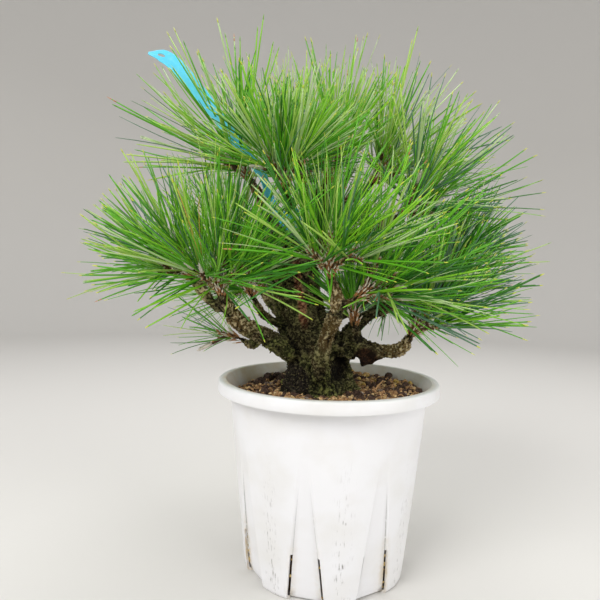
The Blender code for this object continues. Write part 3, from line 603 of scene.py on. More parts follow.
def set_notes(mesh, notes):
    """Store named numbers at every point, for the material to read."""
    for name, values in notes.items():
        attribute = mesh.attributes.new(name, "FLOAT", "POINT")
        attribute.data.foreach_set("value", values.astype(np.float32))


def unit(vectors):
    """The vectors at length one."""
    return vectors / np.maximum(np.linalg.norm(vectors, axis=-1, keepdims=True), 1e-12)


def sweep(paths, radii, across, profile):
    """Closed strands swept along paths: points and faces. The profile runs anticlockwise."""
    paths, radii, across = (np.asarray(part, float) for part in (paths, radii, across))
    strands, stations = paths.shape[:2]
    profile = np.asarray(profile, float)
    sides = len(profile)
    along = unit(np.gradient(paths, axis=1))
    wide = across[:, None, :] - along * (across[:, None, :] * along).sum(-1, keepdims=True)
    wide = unit(wide)
    deep = np.cross(along, wide)
    spread = wide[:, :, None, :] * profile[:, 0, None] + deep[:, :, None, :] * profile[:, 1, None]
    points = paths[:, :, None, :] + spread * radii[:, :, None, None]
    ring = np.arange(sides)
    ahead = (ring + 1) % sides
    first = (np.arange(strands)[:, None, None] * stations
             + np.arange(stations - 1)[None, :, None]) * sides
    walls = np.stack((first + ring, first + ahead, first + sides + ahead, first + sides + ring), -1)
    feet = np.arange(strands)[:, None] * stations * sides + ring[::-1]
    tips = np.arange(strands)[:, None] * stations * sides + (stations - 1) * sides + ring
    faces = walls.reshape(-1, 4).tolist() + feet.tolist() + tips.tolist()
    return points.reshape(-1, 3), faces


def joined(parts):
    """Several point and face lists as one."""
    points, faces, offset = [], [], 0
    for part_points, part_faces in parts:
        points.append(part_points)
        faces += [[index + offset for index in face] for face in part_faces]
        offset += len(part_points)
    return np.concatenate(points), faces


def regular(sides):
    """A round profile with this many sides."""
    turns = np.arange(sides) * 2 * math.pi / sides
    return np.stack((np.cos(turns), np.sin(turns)), -1)


def on_circle(radius, azimuth):
    """The place at this radius and azimuth, counted from the front towards the right."""
    return radius * math.sin(azimuth), -radius * math.cos(azimuth)


def ring_walls(rings, around, first=0):
    """Quads that join rings of this many points, each ring to the next."""
    faces = []
    for ring in range(rings - 1):
        for step in range(around):
            here = first + ring * around + step
            there = first + ring * around + (step + 1) % around
            faces.append((here, here + around, there + around, there))
    return faces


def clamped(value):
    """The value kept between 0 and 1."""
    return min(1.0, max(0.0, value))


def smoothstep(low, high, value):
    """Eases from 0 at low to 1 at high."""
    share = clamped((value - low) / (high - low))
    return share * share * (3 - 2 * share)


def square_to(directions, rng):
    """A random direction square to each given one."""
    return unit(np.cross(directions, unit(rng.normal(size=directions.shape))))


def scattered(base, places, sizes, rough, rng):
    """Copies of a small base shape, each squashed, turned and roughened in its own way."""
    base_points, base_faces = base
    count = len(places)
    turns, _ = np.linalg.qr(rng.normal(size=(count, 3, 3)))
    turns *= np.sign(np.linalg.det(turns))[:, None, None]
    lumps = 1 + rough * rng.uniform(-1, 1, (count, len(base_points), 1))
    shapes = base_points[None] * lumps * sizes[:, None, :]
    points = shapes @ turns + places[:, None, :]
    offsets = np.arange(count)[:, None, None] * len(base_points)
    return points.reshape(-1, 3), (np.asarray(base_faces)[None] + offsets).reshape(-1, 3).tolist()


def pebble(subdivisions):
    """A round grain: points and triangles."""
    bm = bmesh.new()
    bmesh.ops.create_icosphere(bm, subdivisions=subdivisions, radius=1.0)
    points = np.array([vertex.co[:] for vertex in bm.verts])
    faces = [[vertex.index for vertex in face.verts] for face in bm.faces]
    bm.free()
    return points, faces


# Growth rule

def smooth_path(points, count, skip=0):
    """Points evenly stepped along the smooth curve through the given ones, from span skip on."""
    ends = [points[0] * 2 - points[1], *points, points[-1] * 2 - points[-2]]
    path = []
    for step in range(count):
        at = skip + step / (count - 1) * (len(points) - 1 - skip)
        i = min(int(at), len(points) - 2)
        t = at - i
        before, start, end, after = ends[i:i + 4]
        path.append(0.5 * (2 * start + (end - before) * t
                           + (2 * before - 5 * start + 4 * end - after) * t ** 2
                           + (3 * start - before - 3 * end + after) * t ** 3))
    return path


def turned_aside(direction, angle, azimuth):
    """The direction, tipped by angle towards azimuth round it."""
    side = direction.orthogonal().normalized()
    side.rotate(Matrix.Rotation(azimuth, 3, direction))
    return (direction * math.cos(angle) + side * math.sin(angle)).normalized()


class Limb:
    """A limb's middle line and radii."""

    def __init__(self, path, radii):
        self.path = path
        self.radii = radii

    def point(self, share):
        """The place this share of the way along."""
        at = share * (len(self.path) - 1)
        i = min(int(at), len(self.path) - 2)
        return self.path[i].lerp(self.path[i + 1], at - i)

    def radius(self, share):
        """The radius this share of the way along."""
        return float(np.interp(share * (len(self.path) - 1), range(len(self.path)), self.radii))

    def tip(self):
        """The end's place, heading and radius."""
        return self.path[-1], (self.path[-1] - self.path[-2]).normalized(), self.radii[-1]


def grow_limbs():
    """Middle lines and radii of the trunk and every bough."""
    path = smooth_path([Vector(bend) * MM for bend in TRUNK_BENDS], TRUNK_RINGS)
    spots = np.linspace(0, len(TRUNK_RADII) - 1, TRUNK_RINGS)
    limbs = {"trunk": Limb(path, list(np.interp(spots, range(len(TRUNK_RADII)), TRUNK_RADII) * MM))}
    for bough in BOUGHS:
        root = limbs[bough.parent].point(bough.rooted)
        bends = [root, *(Vector(bend) * MM for bend in bough.bends), Vector(bough.tip) * MM]
        path = smooth_path(bends, BOUGH_RINGS + 2 * len(bough.bends))
        radii = np.linspace(bough.root_radius, bough.tip_radius, len(path)) * MM
        limbs[bough.name] = Limb(path, list(radii))
    return limbs


def plan_mass(index, mass, limbs):
    """The stem, twigs and candles of one mass, as the part's source plans them."""
    rng = random.Random(PLAN_SEED + index)
    tip, heading, tip_radius = limbs[mass.limb].tip()
    radius = tip_radius * STEM_TAPER
    lean = Vector(mass.lean).normalized()
    start = tip + heading * GAP
    bend = start + heading * STEM_LENGTH
    hub = bend + (heading + lean).normalized() * STEM_LENGTH
    rods = [(start, bend, radius, radius), (bend, hub, radius, SHOOT_RADIUS)]
    candles = []
    vigour = min(1.0, mass.length / FULL_SHOOT_NEEDLE)
    phase = rng.uniform(0, 2 * math.pi)
    for shoot in range(mass.shoots):
        fan = math.radians(mass.fan) * (shoot > 0)
        out = turned_aside(lean, fan, phase + shoot * 2 * math.pi / max(1, mass.shoots - 1))
        out = (out + Vector((0, 0, SHOOT_RISE))).normalized()
        foot = hub - lean * SHOOT_RADIUS
        knee = foot + out * (TWIG_LENGTH * vigour)
        end = knee + out * (CANDLE_LENGTH * vigour)
        rods.append((foot, end, SHOOT_RADIUS, CANDLE_TIP_RADIUS))
        candles.append((knee, end, out))
    return rods, candles


def crown_spaces(plans):
    """Middles of each mass's space: a point is in the space whose nearest middle is closest."""
    places, owners = [], []
    for index, (mass, (rods, candles)) in enumerate(zip(MASSES, plans)):
        own = [start for start, *_ in rods]
        for _, end, out in candles:
            own += [end + out * (reach * mass.length * MM) for reach in SPACE_REACHES]
        places += [tuple(point) for point in own]
        owners += [index] * len(own)
    return np.array(places), np.array(owners)


def tag_frames(limbs):
    """Middle points of the tag's strip and its width directions, from its head to its free end."""
    bough = limbs[TAG_BOUGH]
    centre = bough.point(TAG_PLACE)
    along = (bough.point(TAG_PLACE + TAG_GRIP) - bough.point(TAG_PLACE - TAG_GRIP)).normalized()
    front = Vector((0, -1, 0))
    front = (front - along * front.dot(along)).normalized()
    over = along.cross(front)
    if over.x > 0:
        over.negate()
    radius = bough.radius(TAG_PLACE - TAG_GRIP) + TAG_LOOP_CLEARANCE
    frames = []
    for step in range(TAG_LOOP_STEPS + 1):
        share = step / TAG_LOOP_STEPS
        angle = TAG_LOOP_START + share * TAG_LOOP_SWEEP
        reach = radius + TAG_LOOP_GROWTH * share
        frames.append((centre + (front * math.cos(angle) + over * math.sin(angle)) * reach, along))
    last, before = frames[-1][0], frames[-3][0]
    bends = [before, last, *(Vector(point) * MM for point in TAG_RUN)]
    run = smooth_path(bends, TAG_RUN_STEPS, 1)[1:]
    for i, point in enumerate(run):
        heading = (run[min(i + 1, len(run) - 1)] - run[max(i - 1, 0)]).normalized()
        across = heading.cross(front).normalized()
        if across.dot(along) < 0:
            across.negate()
        twist = TAG_TWIST * math.cos(math.pi / 2 * i / (len(run) - 1))
        across.rotate(Matrix.Rotation(twist, 3, heading))
        blend = min(1.0, i / TAG_TURN_STEPS)
        across = along.lerp(across, blend).normalized()
        curl = TAG_CURL * max(0.0, 1 - (len(run) - 1 - i) / TAG_CURL_STEPS)
        across.rotate(Matrix.Rotation(curl, 3, heading))
        frames.append((point, across))
    return frames


def solid_samples(limbs, tag):
    """Points along the limbs and over the tag, with the radius that needles keep clear of."""
    places, radii = [], []
    for limb in limbs.values():
        for i in range(len(limb.path) - 1):
            for share in (0, 0.34, 0.67):
                places.append(tuple(limb.path[i].lerp(limb.path[i + 1], share)))
                radii.append(max(limb.radii[i], limb.radii[i + 1]) + LIMB_CLEARANCE)
    for point, across in tag[::2]:
        for share in (-1, -0.5, 0, 0.5, 1):
            places.append(tuple(point + across * (share * TAG_WIDTH / 2)))
            radii.append(TAG_CLEARANCE)
    return np.array(places), np.array(radii)


def distances(places, others):
    """Distances of every point of one list to every point of the other."""
    return np.linalg.norm(places[:, None, :] - others[None, :, :], axis=2)


Shoot = namedtuple("Shoot", "mass foot knee end out radius pairs length bristles")


def fine_shoots(plans, pairs):
    """A short collar on each mass's stem, every candle of the plan, and a side shoot on each."""
    rng = random.Random(FINE_SEED)
    shoots = []
    for index, (mass, (rods, candles)) in enumerate(zip(MASSES, plans)):
        start, hub = rods[0][0], rods[1][1]
        lead = candles[0][2]
        shoots.append(Shoot(index, start, hub, hub + lead * COLLAR_REACH, lead, SHOOT_RADIUS, 0, 0,
                            COLLAR_BRISTLES * len(candles) // 4))
        for knee, end, out in candles:
            foot = knee - (end - knee) * (TWIG_LENGTH / CANDLE_LENGTH)
            own = round(pairs * mass.fullness)
            first = foot.lerp(knee, FIRST_NEEDLES)
            shoots.append(Shoot(index, foot, first, end, out, CANDLE_TIP_RADIUS, own,
                                mass.length * MM, FEW_BRISTLES))
            turn = rng.uniform(0, 2 * math.pi)
            aside = turned_aside(out, SIDE_ANGLE * rng.uniform(0.75, 1.2), turn)
            root = foot.lerp(end, rng.uniform(0.30, 0.62))
            tip = root + aside * (SIDE_LENGTH * rng.uniform(0.8, 1.25))
            shoots.append(Shoot(index, root, root.lerp(tip, 0.2), tip, aside, SIDE_RADIUS,
                                round(own * SIDE_PAIRS), mass.length * MM * SIDE_NEEDLE, 0))
    return shoots


Pair = namedtuple("Pair", "shoot root aim length")


def grow_pairs(shoots, spaces, solids, low):
    """Where each pair of needles is rooted and aims, by the source's fan, within its space."""
    rng = random.Random(FINE_SEED + 1)
    places, owners = spaces
    solid_places, solid_radii = solids
    opening = NEEDLE_TIP_ANGLE - NEEDLE_LOW_ANGLE
    pairs = []
    for number, shoot in enumerate(shoots):
        own_places = places[owners == shoot.mass]
        other_places = places[owners != shoot.mass]
        lowest = MASSES[shoot.mass].lowest
        for k in range(shoot.pairs):
            for _ in range(NEEDLE_TRIES):
                along = (k + rng.random()) / shoot.pairs
                angle = NEEDLE_LOW_ANGLE + opening * along ** NEEDLE_FAN_CURVE
                angle = max(NEEDLE_LEAST_ANGLE, angle + rng.uniform(-1, 1) * NEEDLE_JITTER)
                aim = turned_aside(shoot.out, angle, k * GOLDEN_ANGLE + rng.uniform(-0.7, 0.7))
                aim = (aim + Vector((0, 0, NEEDLE_LIFT))).normalized()
                aside = (aim - shoot.out * aim.dot(shoot.out)).normalized()
                root = shoot.knee.lerp(shoot.end, along) + aside * (shoot.radius * 0.5)
                reach = rng.choice((rng.uniform(0.78, 1.0), rng.uniform(0.62, 0.95)))
                length = shoot.length * reach
                if aim.z < lowest or (root + aim * length).z < low:
                    continue
                line = np.array(root) + np.outer(SAMPLE_SHARES * length, np.array(aim))
                own = distances(line, own_places).min(axis=1)
                if (distances(line, other_places).min(axis=1) - own).min() < -SPACE_OVERLAP:
                    continue
                if (distances(line, solid_places) - solid_radii).min() < 0:
                    continue
                pairs.append(Pair(number, root, aim, length))
                break
    return pairs


# Settings

def length_setting(name, description, default):
    """A length setting in metres."""
    return bpy.props.FloatProperty(name=name, description=description, default=default, min=0,
                                   unit="LENGTH", precision=5)


def colour_setting(name, description, colour):
    """A colour setting, from its sRGB hex value."""
    return bpy.props.FloatVectorProperty(name=name, description=description, subtype="COLOR",
                                         size=3, min=0, max=1, default=linear(colour))


class PotSettings(bpy.types.PropertyGroup):
    """What a user would change on the pot and its soil."""
    white: colour_setting("Pot colour", "Base colour of the moulded pot", "#f0f0f3")
    grit_size: length_setting("Grit size", "Radius of a large grain of potting grit", 2.9 * MM)
    grit_count: bpy.props.IntProperty(name="Grains", default=640, min=0,
                                      description="Number of large grains on the soil")


class BarkSettings(bpy.types.PropertyGroup):
    """What a user would change on the trunk and boughs."""
    voxel: length_setting("Fineness", "Edge of the voxels that merge the limbs", 0.92 * MM)
    plate: length_setting("Plate size", "Width of a plate of bark on the trunk", 2.7 * MM)
    depth: length_setting("Fissure depth", "Depth of the fissures in the trunk's bark", 2.6 * MM)
    light: colour_setting("Bark", "Colour of the bark's lighter flakes", "#7c7650")
    dark: colour_setting("Shaded bark", "Colour of the bark's darker flakes", "#2c2716")
    moss: colour_setting("Moss", "Colour of the moss on the trunk's foot", "#868a4c")


class NeedleSettings(bpy.types.PropertyGroup):
    """What a user would change on the needles."""
    width: length_setting("Needle width", "Width across one needle", 1.18 * MM)
    pairs: bpy.props.IntProperty(name="Pairs a shoot", default=22, min=1,
                                 description="Pairs of needles on a main shoot")
    sheath: length_setting("Sheath length", "Length of the sheath round each pair's foot", 5 * MM)


class TagSettings(bpy.types.PropertyGroup):
    """What a user would change on the plant tag."""
    blue: colour_setting("Tag colour", "Base colour of the plastic strip", "#5dcdf6")
    hole: length_setting("Hole length", "Length of the hole near the free end", 5 * MM)


class StageSettings(bpy.types.PropertyGroup):
    """What a user would change on the stage."""
    paper: colour_setting("Floor colour", "Colour of the seamless paper", "#d9d7d3")
    key_power: bpy.props.FloatProperty(name="Key light", description="Power of the key light",
                                       default=15.6, min=0, unit="POWER")


# Pot

def panel_half_angle(level):
    """Half the angle that a sunk panel spans: wide at the foot, a point at its top."""
    rise = min(1.0, level / PANEL_TOP)
    return PANEL_HALF_ANGLE * (1 - rise) + PANEL_APEX_ANGLE * rise


def pot_radius(from_panel, level):
    """Radius of the pot's outside: a cone with flat sunk panels and faintly creased feet."""
    cone = FOOT_RADIUS + (NECK_RADIUS - FOOT_RADIUS) * level / NECK_LEVEL
    half = panel_half_angle(level)
    edge = half + PANEL_EDGE_ANGLE
    sunk = (cone - PANEL_DEPTH * max(0.0, 1 - level / PANEL_TOP)) * math.cos(half)
    if from_panel <= half:
        return sunk / math.cos(from_panel)
    if from_panel < edge:
        share = (from_panel - half) / PANEL_EDGE_ANGLE
        return sunk / math.cos(half) * (1 - share) + cone * share
    to_crease = (from_panel - edge) / (PANEL_PITCH / 2 - edge)
    return cone + FOOT_CREASE * to_crease * max(0.0, 1 - level / NECK_LEVEL)


def pot_stations(level):
    """Angles round one ring of the pot, with how far each lies from its panel's middle."""
    half = panel_half_angle(level)
    edge = half + PANEL_EDGE_ANGLE
    near = CORNER_ANGLE
    far = PANEL_PITCH - edge
    offsets = np.concatenate(((-half,), np.linspace(near - half, half - near, PANEL_STATIONS),
                              (half, half + near, edge - near, edge),
                              np.linspace(edge + near, far - near, FOOT_STATIONS),
                              (far, far + near, far + PANEL_EDGE_ANGLE - near)))
    return [(PANEL_TURN + panel * PANEL_PITCH + offset, min(abs(offset), PANEL_PITCH - offset))
            for panel in range(PANELS) for offset in offsets]


def pot_rings():
    """The pot's outline as rings of corners: underside, wall, and the turned-down rim."""
    rings = [[(FLOOR_RADIUS, azimuth, 0.0) for azimuth, _ in pot_stations(0.0)]]
    for step in range(5):
        turn = math.radians(90) * step / 4
        ring = []
        for azimuth, from_panel in pot_stations(0.0):
            in_panel = from_panel <= PANEL_HALF_ANGLE + PANEL_EDGE_ANGLE / 2
            width = FOOT_ROUND + FOOT_STEP if in_panel else FOOT_ROUND
            level = FOOT_STEP * (1 - math.cos(turn))
            radius = pot_radius(from_panel, 0.0) - width * (1 - math.sin(turn))
            ring.append((radius, azimuth, level))
        rings.append(ring)
    low_levels = np.linspace(FOOT_STEP, SLIT_HEIGHT, 9)[1:]
    high_levels = np.linspace(SLIT_HEIGHT, PANEL_TOP, 16)[1:]
    neck_levels = np.linspace(PANEL_TOP, NECK_LEVEL, 5)[1:]
    for level in (*low_levels, *high_levels, *neck_levels):
        rings.append([(pot_radius(from_panel, level), azimuth, level)
                      for azimuth, from_panel in pot_stations(level)])
    under = POT_HEIGHT - WALL
    skirt = RIM_RADIUS - WALL
    outline = [(RIM_THROAT, under)]
    for step in range(4):
        turn = math.radians(90) * step / 3
        outline.append((skirt - RIM_CORNER * (1 - math.sin(turn)),
                        under - RIM_CORNER * (1 - math.cos(turn))))
    outline += [(skirt, POT_HEIGHT - RIM_DROP * 0.6), (skirt, POT_HEIGHT - RIM_DROP)]
    rings += [[(radius, azimuth, level) for azimuth, _ in pot_stations(PANEL_TOP)]
              for radius, level in outline]
    return rings


def pot_shell_mesh():
    """The pot's outside as an open surface with its slits left out, given its wall by Solidify."""
    rings = pot_rings()
    count = len(rings[0])
    points = [(*on_circle(radius, azimuth), level)
              for ring in rings for radius, azimuth, level in ring]
    faces = [tuple(reversed(range(count)))]
    per_panel = count // PANELS
    right_flank = range(PANEL_STATIONS + 1, PANEL_STATIONS + 4)
    flanks = (*right_flank, *range(per_panel - 3, per_panel))
    for row in range(len(rings) - 1):
        top = rings[row + 1][0][2]
        for i in range(count):
            if i % per_panel in flanks and row > 0 and top <= SLIT_HEIGHT + GAP:
                continue
            j = (i + 1) % count
            faces.append((row * count + i, row * count + j,
                          (row + 1) * count + j, (row + 1) * count + i))
    wall = {"thickness": WALL, "offset": -1, "use_even_offset": True}
    shell = applied("pot_guide", new_mesh("pot_shell", points, faces), ("SOLIDIFY", wall))
    bm = bmesh.new()
    bm.from_mesh(shell)
    lips = [edge for edge in bm.edges if min(vert.co.z for vert in edge.verts) > NECK_LEVEL
            and edge.calc_face_angle(0) > math.radians(40)]
    bmesh.ops.bevel(bm, geom=lips, offset=RIM_EDGE, segments=2, profile=0.5, affect="EDGES")
    bm.to_mesh(shell)
    bm.free()
    mark_pot(shell)
    return shell


def mark_pot(mesh):
    """Note where the pot is stained and dirty at its slits, darkened along its panels' corners by
    painted shade and dirt, scuffed on its feet, grimy inside.
    """
    rows = []
    rim_flare = (RIM_THROAT - NECK_RADIUS) / (POT_HEIGHT - WALL - NECK_LEVEL)
    for vertex in mesh.vertices:
        x, y, level = vertex.co
        radius = math.hypot(x, y)
        turned = math.atan2(x, -y) - PANEL_TURN + PANEL_PITCH / 2
        offset = turned % PANEL_PITCH - PANEL_PITCH / 2
        dirt = PANEL_DIRT[int(turned // PANEL_PITCH) % PANELS][int(offset > 0)]
        half = panel_half_angle(level)
        from_flank = abs(abs(offset) - half - PANEL_EDGE_ANGLE / 2) * radius
        spread = STAIN_INSIDE if abs(offset) < half + PANEL_EDGE_ANGLE / 2 else STAIN_OUTSIDE
        stain = math.exp(-max(0.0, from_flank - STAIN_EDGE) / spread)
        stain *= 0.8 * dirt * clamped(1 - (level - SLIT_HEIGHT * 0.6) / STAIN_FADE)
        # The dark line along each panel's corner: painted shade of the crisp edge, and dirt in the
        # seam.
        from_corner = abs(abs(offset) - half) * radius
        seam = math.exp(-(from_corner / SEAM_WIDTH) ** 2)
        seam *= dirt * clamped((SEAM_TOP - level) / SEAM_FADE)
        from_crease = (PANEL_PITCH / 2 - abs(offset)) * radius
        scuff = math.exp(-(from_crease / SCUFF_WIDTH) ** 2) * clamped(1.5 - level / SCUFF_FADE)
        flare = max(0.0, level - NECK_LEVEL) * rim_flare
        outside = pot_radius(abs(offset), min(level, NECK_LEVEL)) + flare
        inside = radius < outside - WALL * 0.6 and level > NECK_LEVEL * 0.5
        rows.append((stain, seam, scuff, 0.72 - 0.25 * x / radius if inside else 0.0))
    set_notes(mesh, dict(zip(POT_NOTES, np.array(rows).T)))


class BONSAI_OT_pot(bpy.types.Operator):
    """Make the white slit-sided nursery pot"""
    bl_idname = "bonsai.pot"
    bl_label = "Pot"

    def execute(self, context):
        settings = context.scene.bonsai_pot
        mesh = pot_shell_mesh()
        add_piece("pot_moulding", mesh, moulded_polypropylene(settings.white), ["pot"])
        mesh.set_sharp_from_angle(angle=math.radians(25))
        return {"FINISHED"}


# Soil

def soil_height(x, y):
    """Level of the soil's surface: lumpy, a little higher towards the wall, low at the left."""
    out = math.hypot(x, y) / SOIL_RADIUS
    lump = noise.noise(Vector((x, y, 0)) / (9 * MM))
    lump += 0.6 * noise.noise(Vector((x, y, 1)) / (4 * MM))
    dip = SOIL_DIP * smoothstep(-36 * MM, -60 * MM, x)
    return SOIL_LEVEL + SOIL_HEAP * (0.2 + 0.6 * out ** 2) - dip + SOIL_LUMP * lump


def soil_bed():
    """The plug of soil: a lumpy top, and sides that show dark through the slits."""
    turns = [2 * math.pi * step / SOIL_AROUND for step in range(SOIL_AROUND)]
    points = [(0, 0, soil_height(0, 0))]
    for ring in range(1, SOIL_RINGS + 1):
        corners = [on_circle(SOIL_RADIUS * ring / SOIL_RINGS, turn) for turn in turns]
        points += [(x, y, soil_height(x, y)) for x, y in corners]
    for ring in range(1, SOIL_SIDE_RINGS + 1):
        share = ring / SOIL_SIDE_RINGS
        level = SOIL_LEVEL * (1 - share) + SOIL_FLOOR * share
        radius = SOIL_RADIUS * (1 - share) + SOIL_FOOT_RADIUS * share
        points += [(*on_circle(radius, turn), level) for turn in turns]
    rings = SOIL_RINGS + SOIL_SIDE_RINGS
    top = [(0, 1 + step, 1 + (step + 1) % SOIL_AROUND) for step in range(SOIL_AROUND)]
    foot = range(rings * SOIL_AROUND, (rings - 1) * SOIL_AROUND, -1)
    return points, [*top, *ring_walls(rings, SOIL_AROUND, 1), foot]


def soil_places(count, rng, lift, sector=(0, 360)):
    """Random places just above the soil, within a sector in degrees, clear of the trunk's foot."""
    places = []
    while len(places) < count:
        turn = math.radians(rng.uniform(*sector))
        radius = (SOIL_RADIUS - 1.5 * MM) * math.sqrt(rng.uniform(0.02, 1))
        x, y = on_circle(radius, turn)
        if math.hypot(x - TRUNK_FOOT.x, y - TRUNK_FOOT.y) > TRUNK_FOOT_RADIUS:
            places.append((x, y, soil_height(x, y) + lift))
    return np.array(places)


def crumbs(share, least, most, settings, rng):
    """Grains of one tint: large ones, and small ones between them."""
    parts = []
    for base, many, low, high in ((pebble(2), 1, 0.5, 1.0), (pebble(1), SMALL_CRUMBS, 0.0, 0.5)):
        count = int(settings.grit_count * share) * many
        places = soil_places(count, rng, 0.5 * MM)
        grade = least + (most - least) * (low + (high - low) * rng.random((count, 1)) ** 1.6)
        shape = rng.uniform(0.55, 1.0, (count, 3))
        parts.append(scattered(base, places, grade * shape * settings.grit_size, 0.26, rng))
    return parts


def bark_chunks(rng):
    """Large dark pieces of bark that lie on the soil."""
    places = np.array([(x * MM, y * MM, soil_height(x * MM, y * MM) + up * MM)
                       for x, y, up, _ in BARK_CHUNKS])
    sizes = np.array([half * MM * rng.uniform(0.6, 1.0, 3) for *_, half in BARK_CHUNKS])
    return scattered(pebble(3), places, sizes, 0.13, rng)


def slit_crumbs(rng):
    """Crumbs of grit caught in the pot's dirty slits."""
    places = []
    for panel, flanks in enumerate(PANEL_DIRT):
        for side, dirt in zip((-1, 1), flanks):
            for level in rng.uniform(FOOT_STEP, SLIT_HEIGHT - 2 * MM, round(SLIT_CRUMBS * dirt)):
                flank = panel_half_angle(level) + PANEL_EDGE_ANGLE / 2
                azimuth = PANEL_TURN + panel * PANEL_PITCH + side * flank
                radius = pot_radius(flank, level) - WALL * 0.7
                places.append((*on_circle(radius, azimuth), level))
    sizes = rng.uniform(0.5, 0.9, (len(places), 3)) * MM
    return scattered(pebble(1), np.array(places), sizes, 0.2, rng)


def fertiliser_beads(rng):
    """Round fertiliser beads, at the back right."""
    places = soil_places(BEADS, rng, 1.5 * MM, BEAD_SECTOR)
    sizes = rng.uniform(1.1, 1.8, (BEADS, 1)) * MM * np.ones((BEADS, 3))
    return scattered(pebble(2), places, sizes, 0.05, rng)


def straw_fibres(rng):
    """Fibres in the soil and one fallen dry needle."""
    places = soil_places(FIBRES, rng, 1.2 * MM)
    turns = rng.uniform(0, 2 * math.pi, FIBRES)
    headings = np.stack((np.cos(turns), np.sin(turns), rng.uniform(-0.2, 0.3, FIBRES)), -1)
    lengths = rng.uniform(2, 6, FIBRES) * MM
    steps = np.linspace(0, 1, 4)
    bow = np.sin(steps * math.pi)[None, :, None] * np.array((0, 0, 0.8 * MM))
    paths = places[:, None] + headings[:, None] * (lengths[:, None] * steps)[..., None] + bow
    radii = np.full((FIBRES, 4), 0.18 * MM)
    fallen = np.array([FALLEN_NEEDLE]) * MM
    return [sweep(paths, radii, square_to(headings, rng), regular(4)),
            sweep(fallen, np.full((1, 4), 0.5 * MM), np.array([(1.0, 0, 0)]), regular(5))]


def soil_piece(name, parts, finish, smooth=False):
    """Join grains or fibres into one piece that stands for the soil."""
    add_piece(name, new_mesh(name, *joined(parts)), finish, ["soil"], smooth)


class BONSAI_OT_soil(bpy.types.Operator):
    """Fill the pot with potting grit, bark chunks, fertiliser beads and a fallen needle"""
    bl_idname = "bonsai.soil"
    bl_label = "Soil"

    def execute(self, context):
        settings = context.scene.bonsai_pot
        rng = np.random.default_rng(SOIL_SEED)
        soil_piece("soil_bed", [soil_bed()], porous_grit("Moist loam", "#6e5138", "#352419", 3),
                   smooth=True)
        for tint, light, dark, *amounts in CRUMBS:
            soil_piece("crumbs_" + tint, crumbs(*amounts, settings, rng),
                       porous_grit("Baked clay grit, " + tint, light, dark, 1.6))
        soil_piece("bark_chunks", [bark_chunks(rng)],
                   porous_grit("Fallen bark", "#5a463b", "#1d1512", 1.4))
        soil_piece("slit_crumbs", [slit_crumbs(rng)],
                   porous_grit("Pale pumice grit", "#dcc383", "#8f6f3c", 1.2))
        soil_piece("fertiliser_beads", [fertiliser_beads(rng)],
                   resin_coat("Fertiliser resin", "#c2a052"), smooth=True)
        soil_piece("straw_fibres", straw_fibres(rng), papery("Dry straw", "#c09466"), smooth=True)
        return {"FINISHED"}


# Bark

def stem_limbs(plans):
    """The stem of each mass and its shoots, as limbs that carry the bark on."""
    stems = {}
    for mass, (rods, candles) in zip(MASSES, plans):
        start, bend, radius, _ = rods[0]
        hub = rods[1][1]
        path = [start - (bend - start) * 0.7, bend, hub]
        stems[mass.name] = Limb(path, [radius, radius, SHOOT_RADIUS])
        for number, (knee, end, _) in enumerate(candles):
            foot = knee - (end - knee) * (TWIG_LENGTH / CANDLE_LENGTH)
            radii = [SHOOT_RADIUS, SHOOT_RADIUS * 0.9, CANDLE_TIP_RADIUS]
            stems[f"{mass.name}_{number}"] = Limb([foot, knee, end], radii)
    return stems


def merged_limbs_mesh(stems, voxel):
    """The trunk, boughs and stems, swollen over the gaps between them and merged into one skin."""
    bm = bmesh.new()
    for name in LIMB_NODES:
        copy = frame["nodes"][name].data.copy()
        normals = [vertex.normal.copy() for vertex in copy.vertices]
        for vertex, normal in zip(copy.vertices, normals):
            vertex.co += normal * (2 * GAP)
        bm.from_mesh(copy)
    for limb in stems:
        line = [[tuple(point) for point in limb.path]]
        across = [tuple((limb.path[1] - limb.path[0]).orthogonal())]
        bm.from_mesh(new_mesh("stem", *sweep(line, [limb.radii], across, regular(8))))
    bmesh.ops.remove_doubles(bm, verts=bm.verts, dist=0.001 * MM)
    mesh = bpy.data.meshes.new("limbs")
    bm.to_mesh(mesh)
    bm.free()
    remesh = {"mode": "VOXEL", "voxel_size": voxel}
    smooth = {"factor": 0.5, "iterations": 3}
    return applied("limbs_guide", mesh, ("REMESH", remesh), ("SMOOTH", smooth))


LimbSpot = namedtuple("LimbSpot", "place heading reach radius thin limb")


def limb_spots(limbs, stems):
    """Close-set spots along every limb: heading, length from its foot, radius, how twiggy."""
    spots = []
    for number, (name, limb) in enumerate((*limbs.items(), *stems.items())):
        reach = 0.0
        headings = [(there - here).normalized() for here, there in zip(limb.path, limb.path[1:])]
        for i, heading in enumerate(headings):
            span = (limb.path[i + 1] - limb.path[i]).length
            ahead = headings[min(i + 1, len(headings) - 1)]
            for step in range(LIMB_SPOT_STEPS):
                share = step / LIMB_SPOT_STEPS
                along = (i + share) / (len(limb.path) - 1)
                thin = 0.0 if name in ("trunk", "burr") else smoothstep(0.28, 0.80, along)
                radius = limb.radii[i] * (1 - share) + limb.radii[i + 1] * share
                spots.append(LimbSpot(limb.path[i].lerp(limb.path[i + 1], share),
                                      heading.lerp(ahead, share).normalized(), reach + span * share,
                                      radius, 1.0 if name in stems else thin, number))
            reach += span
    return spots


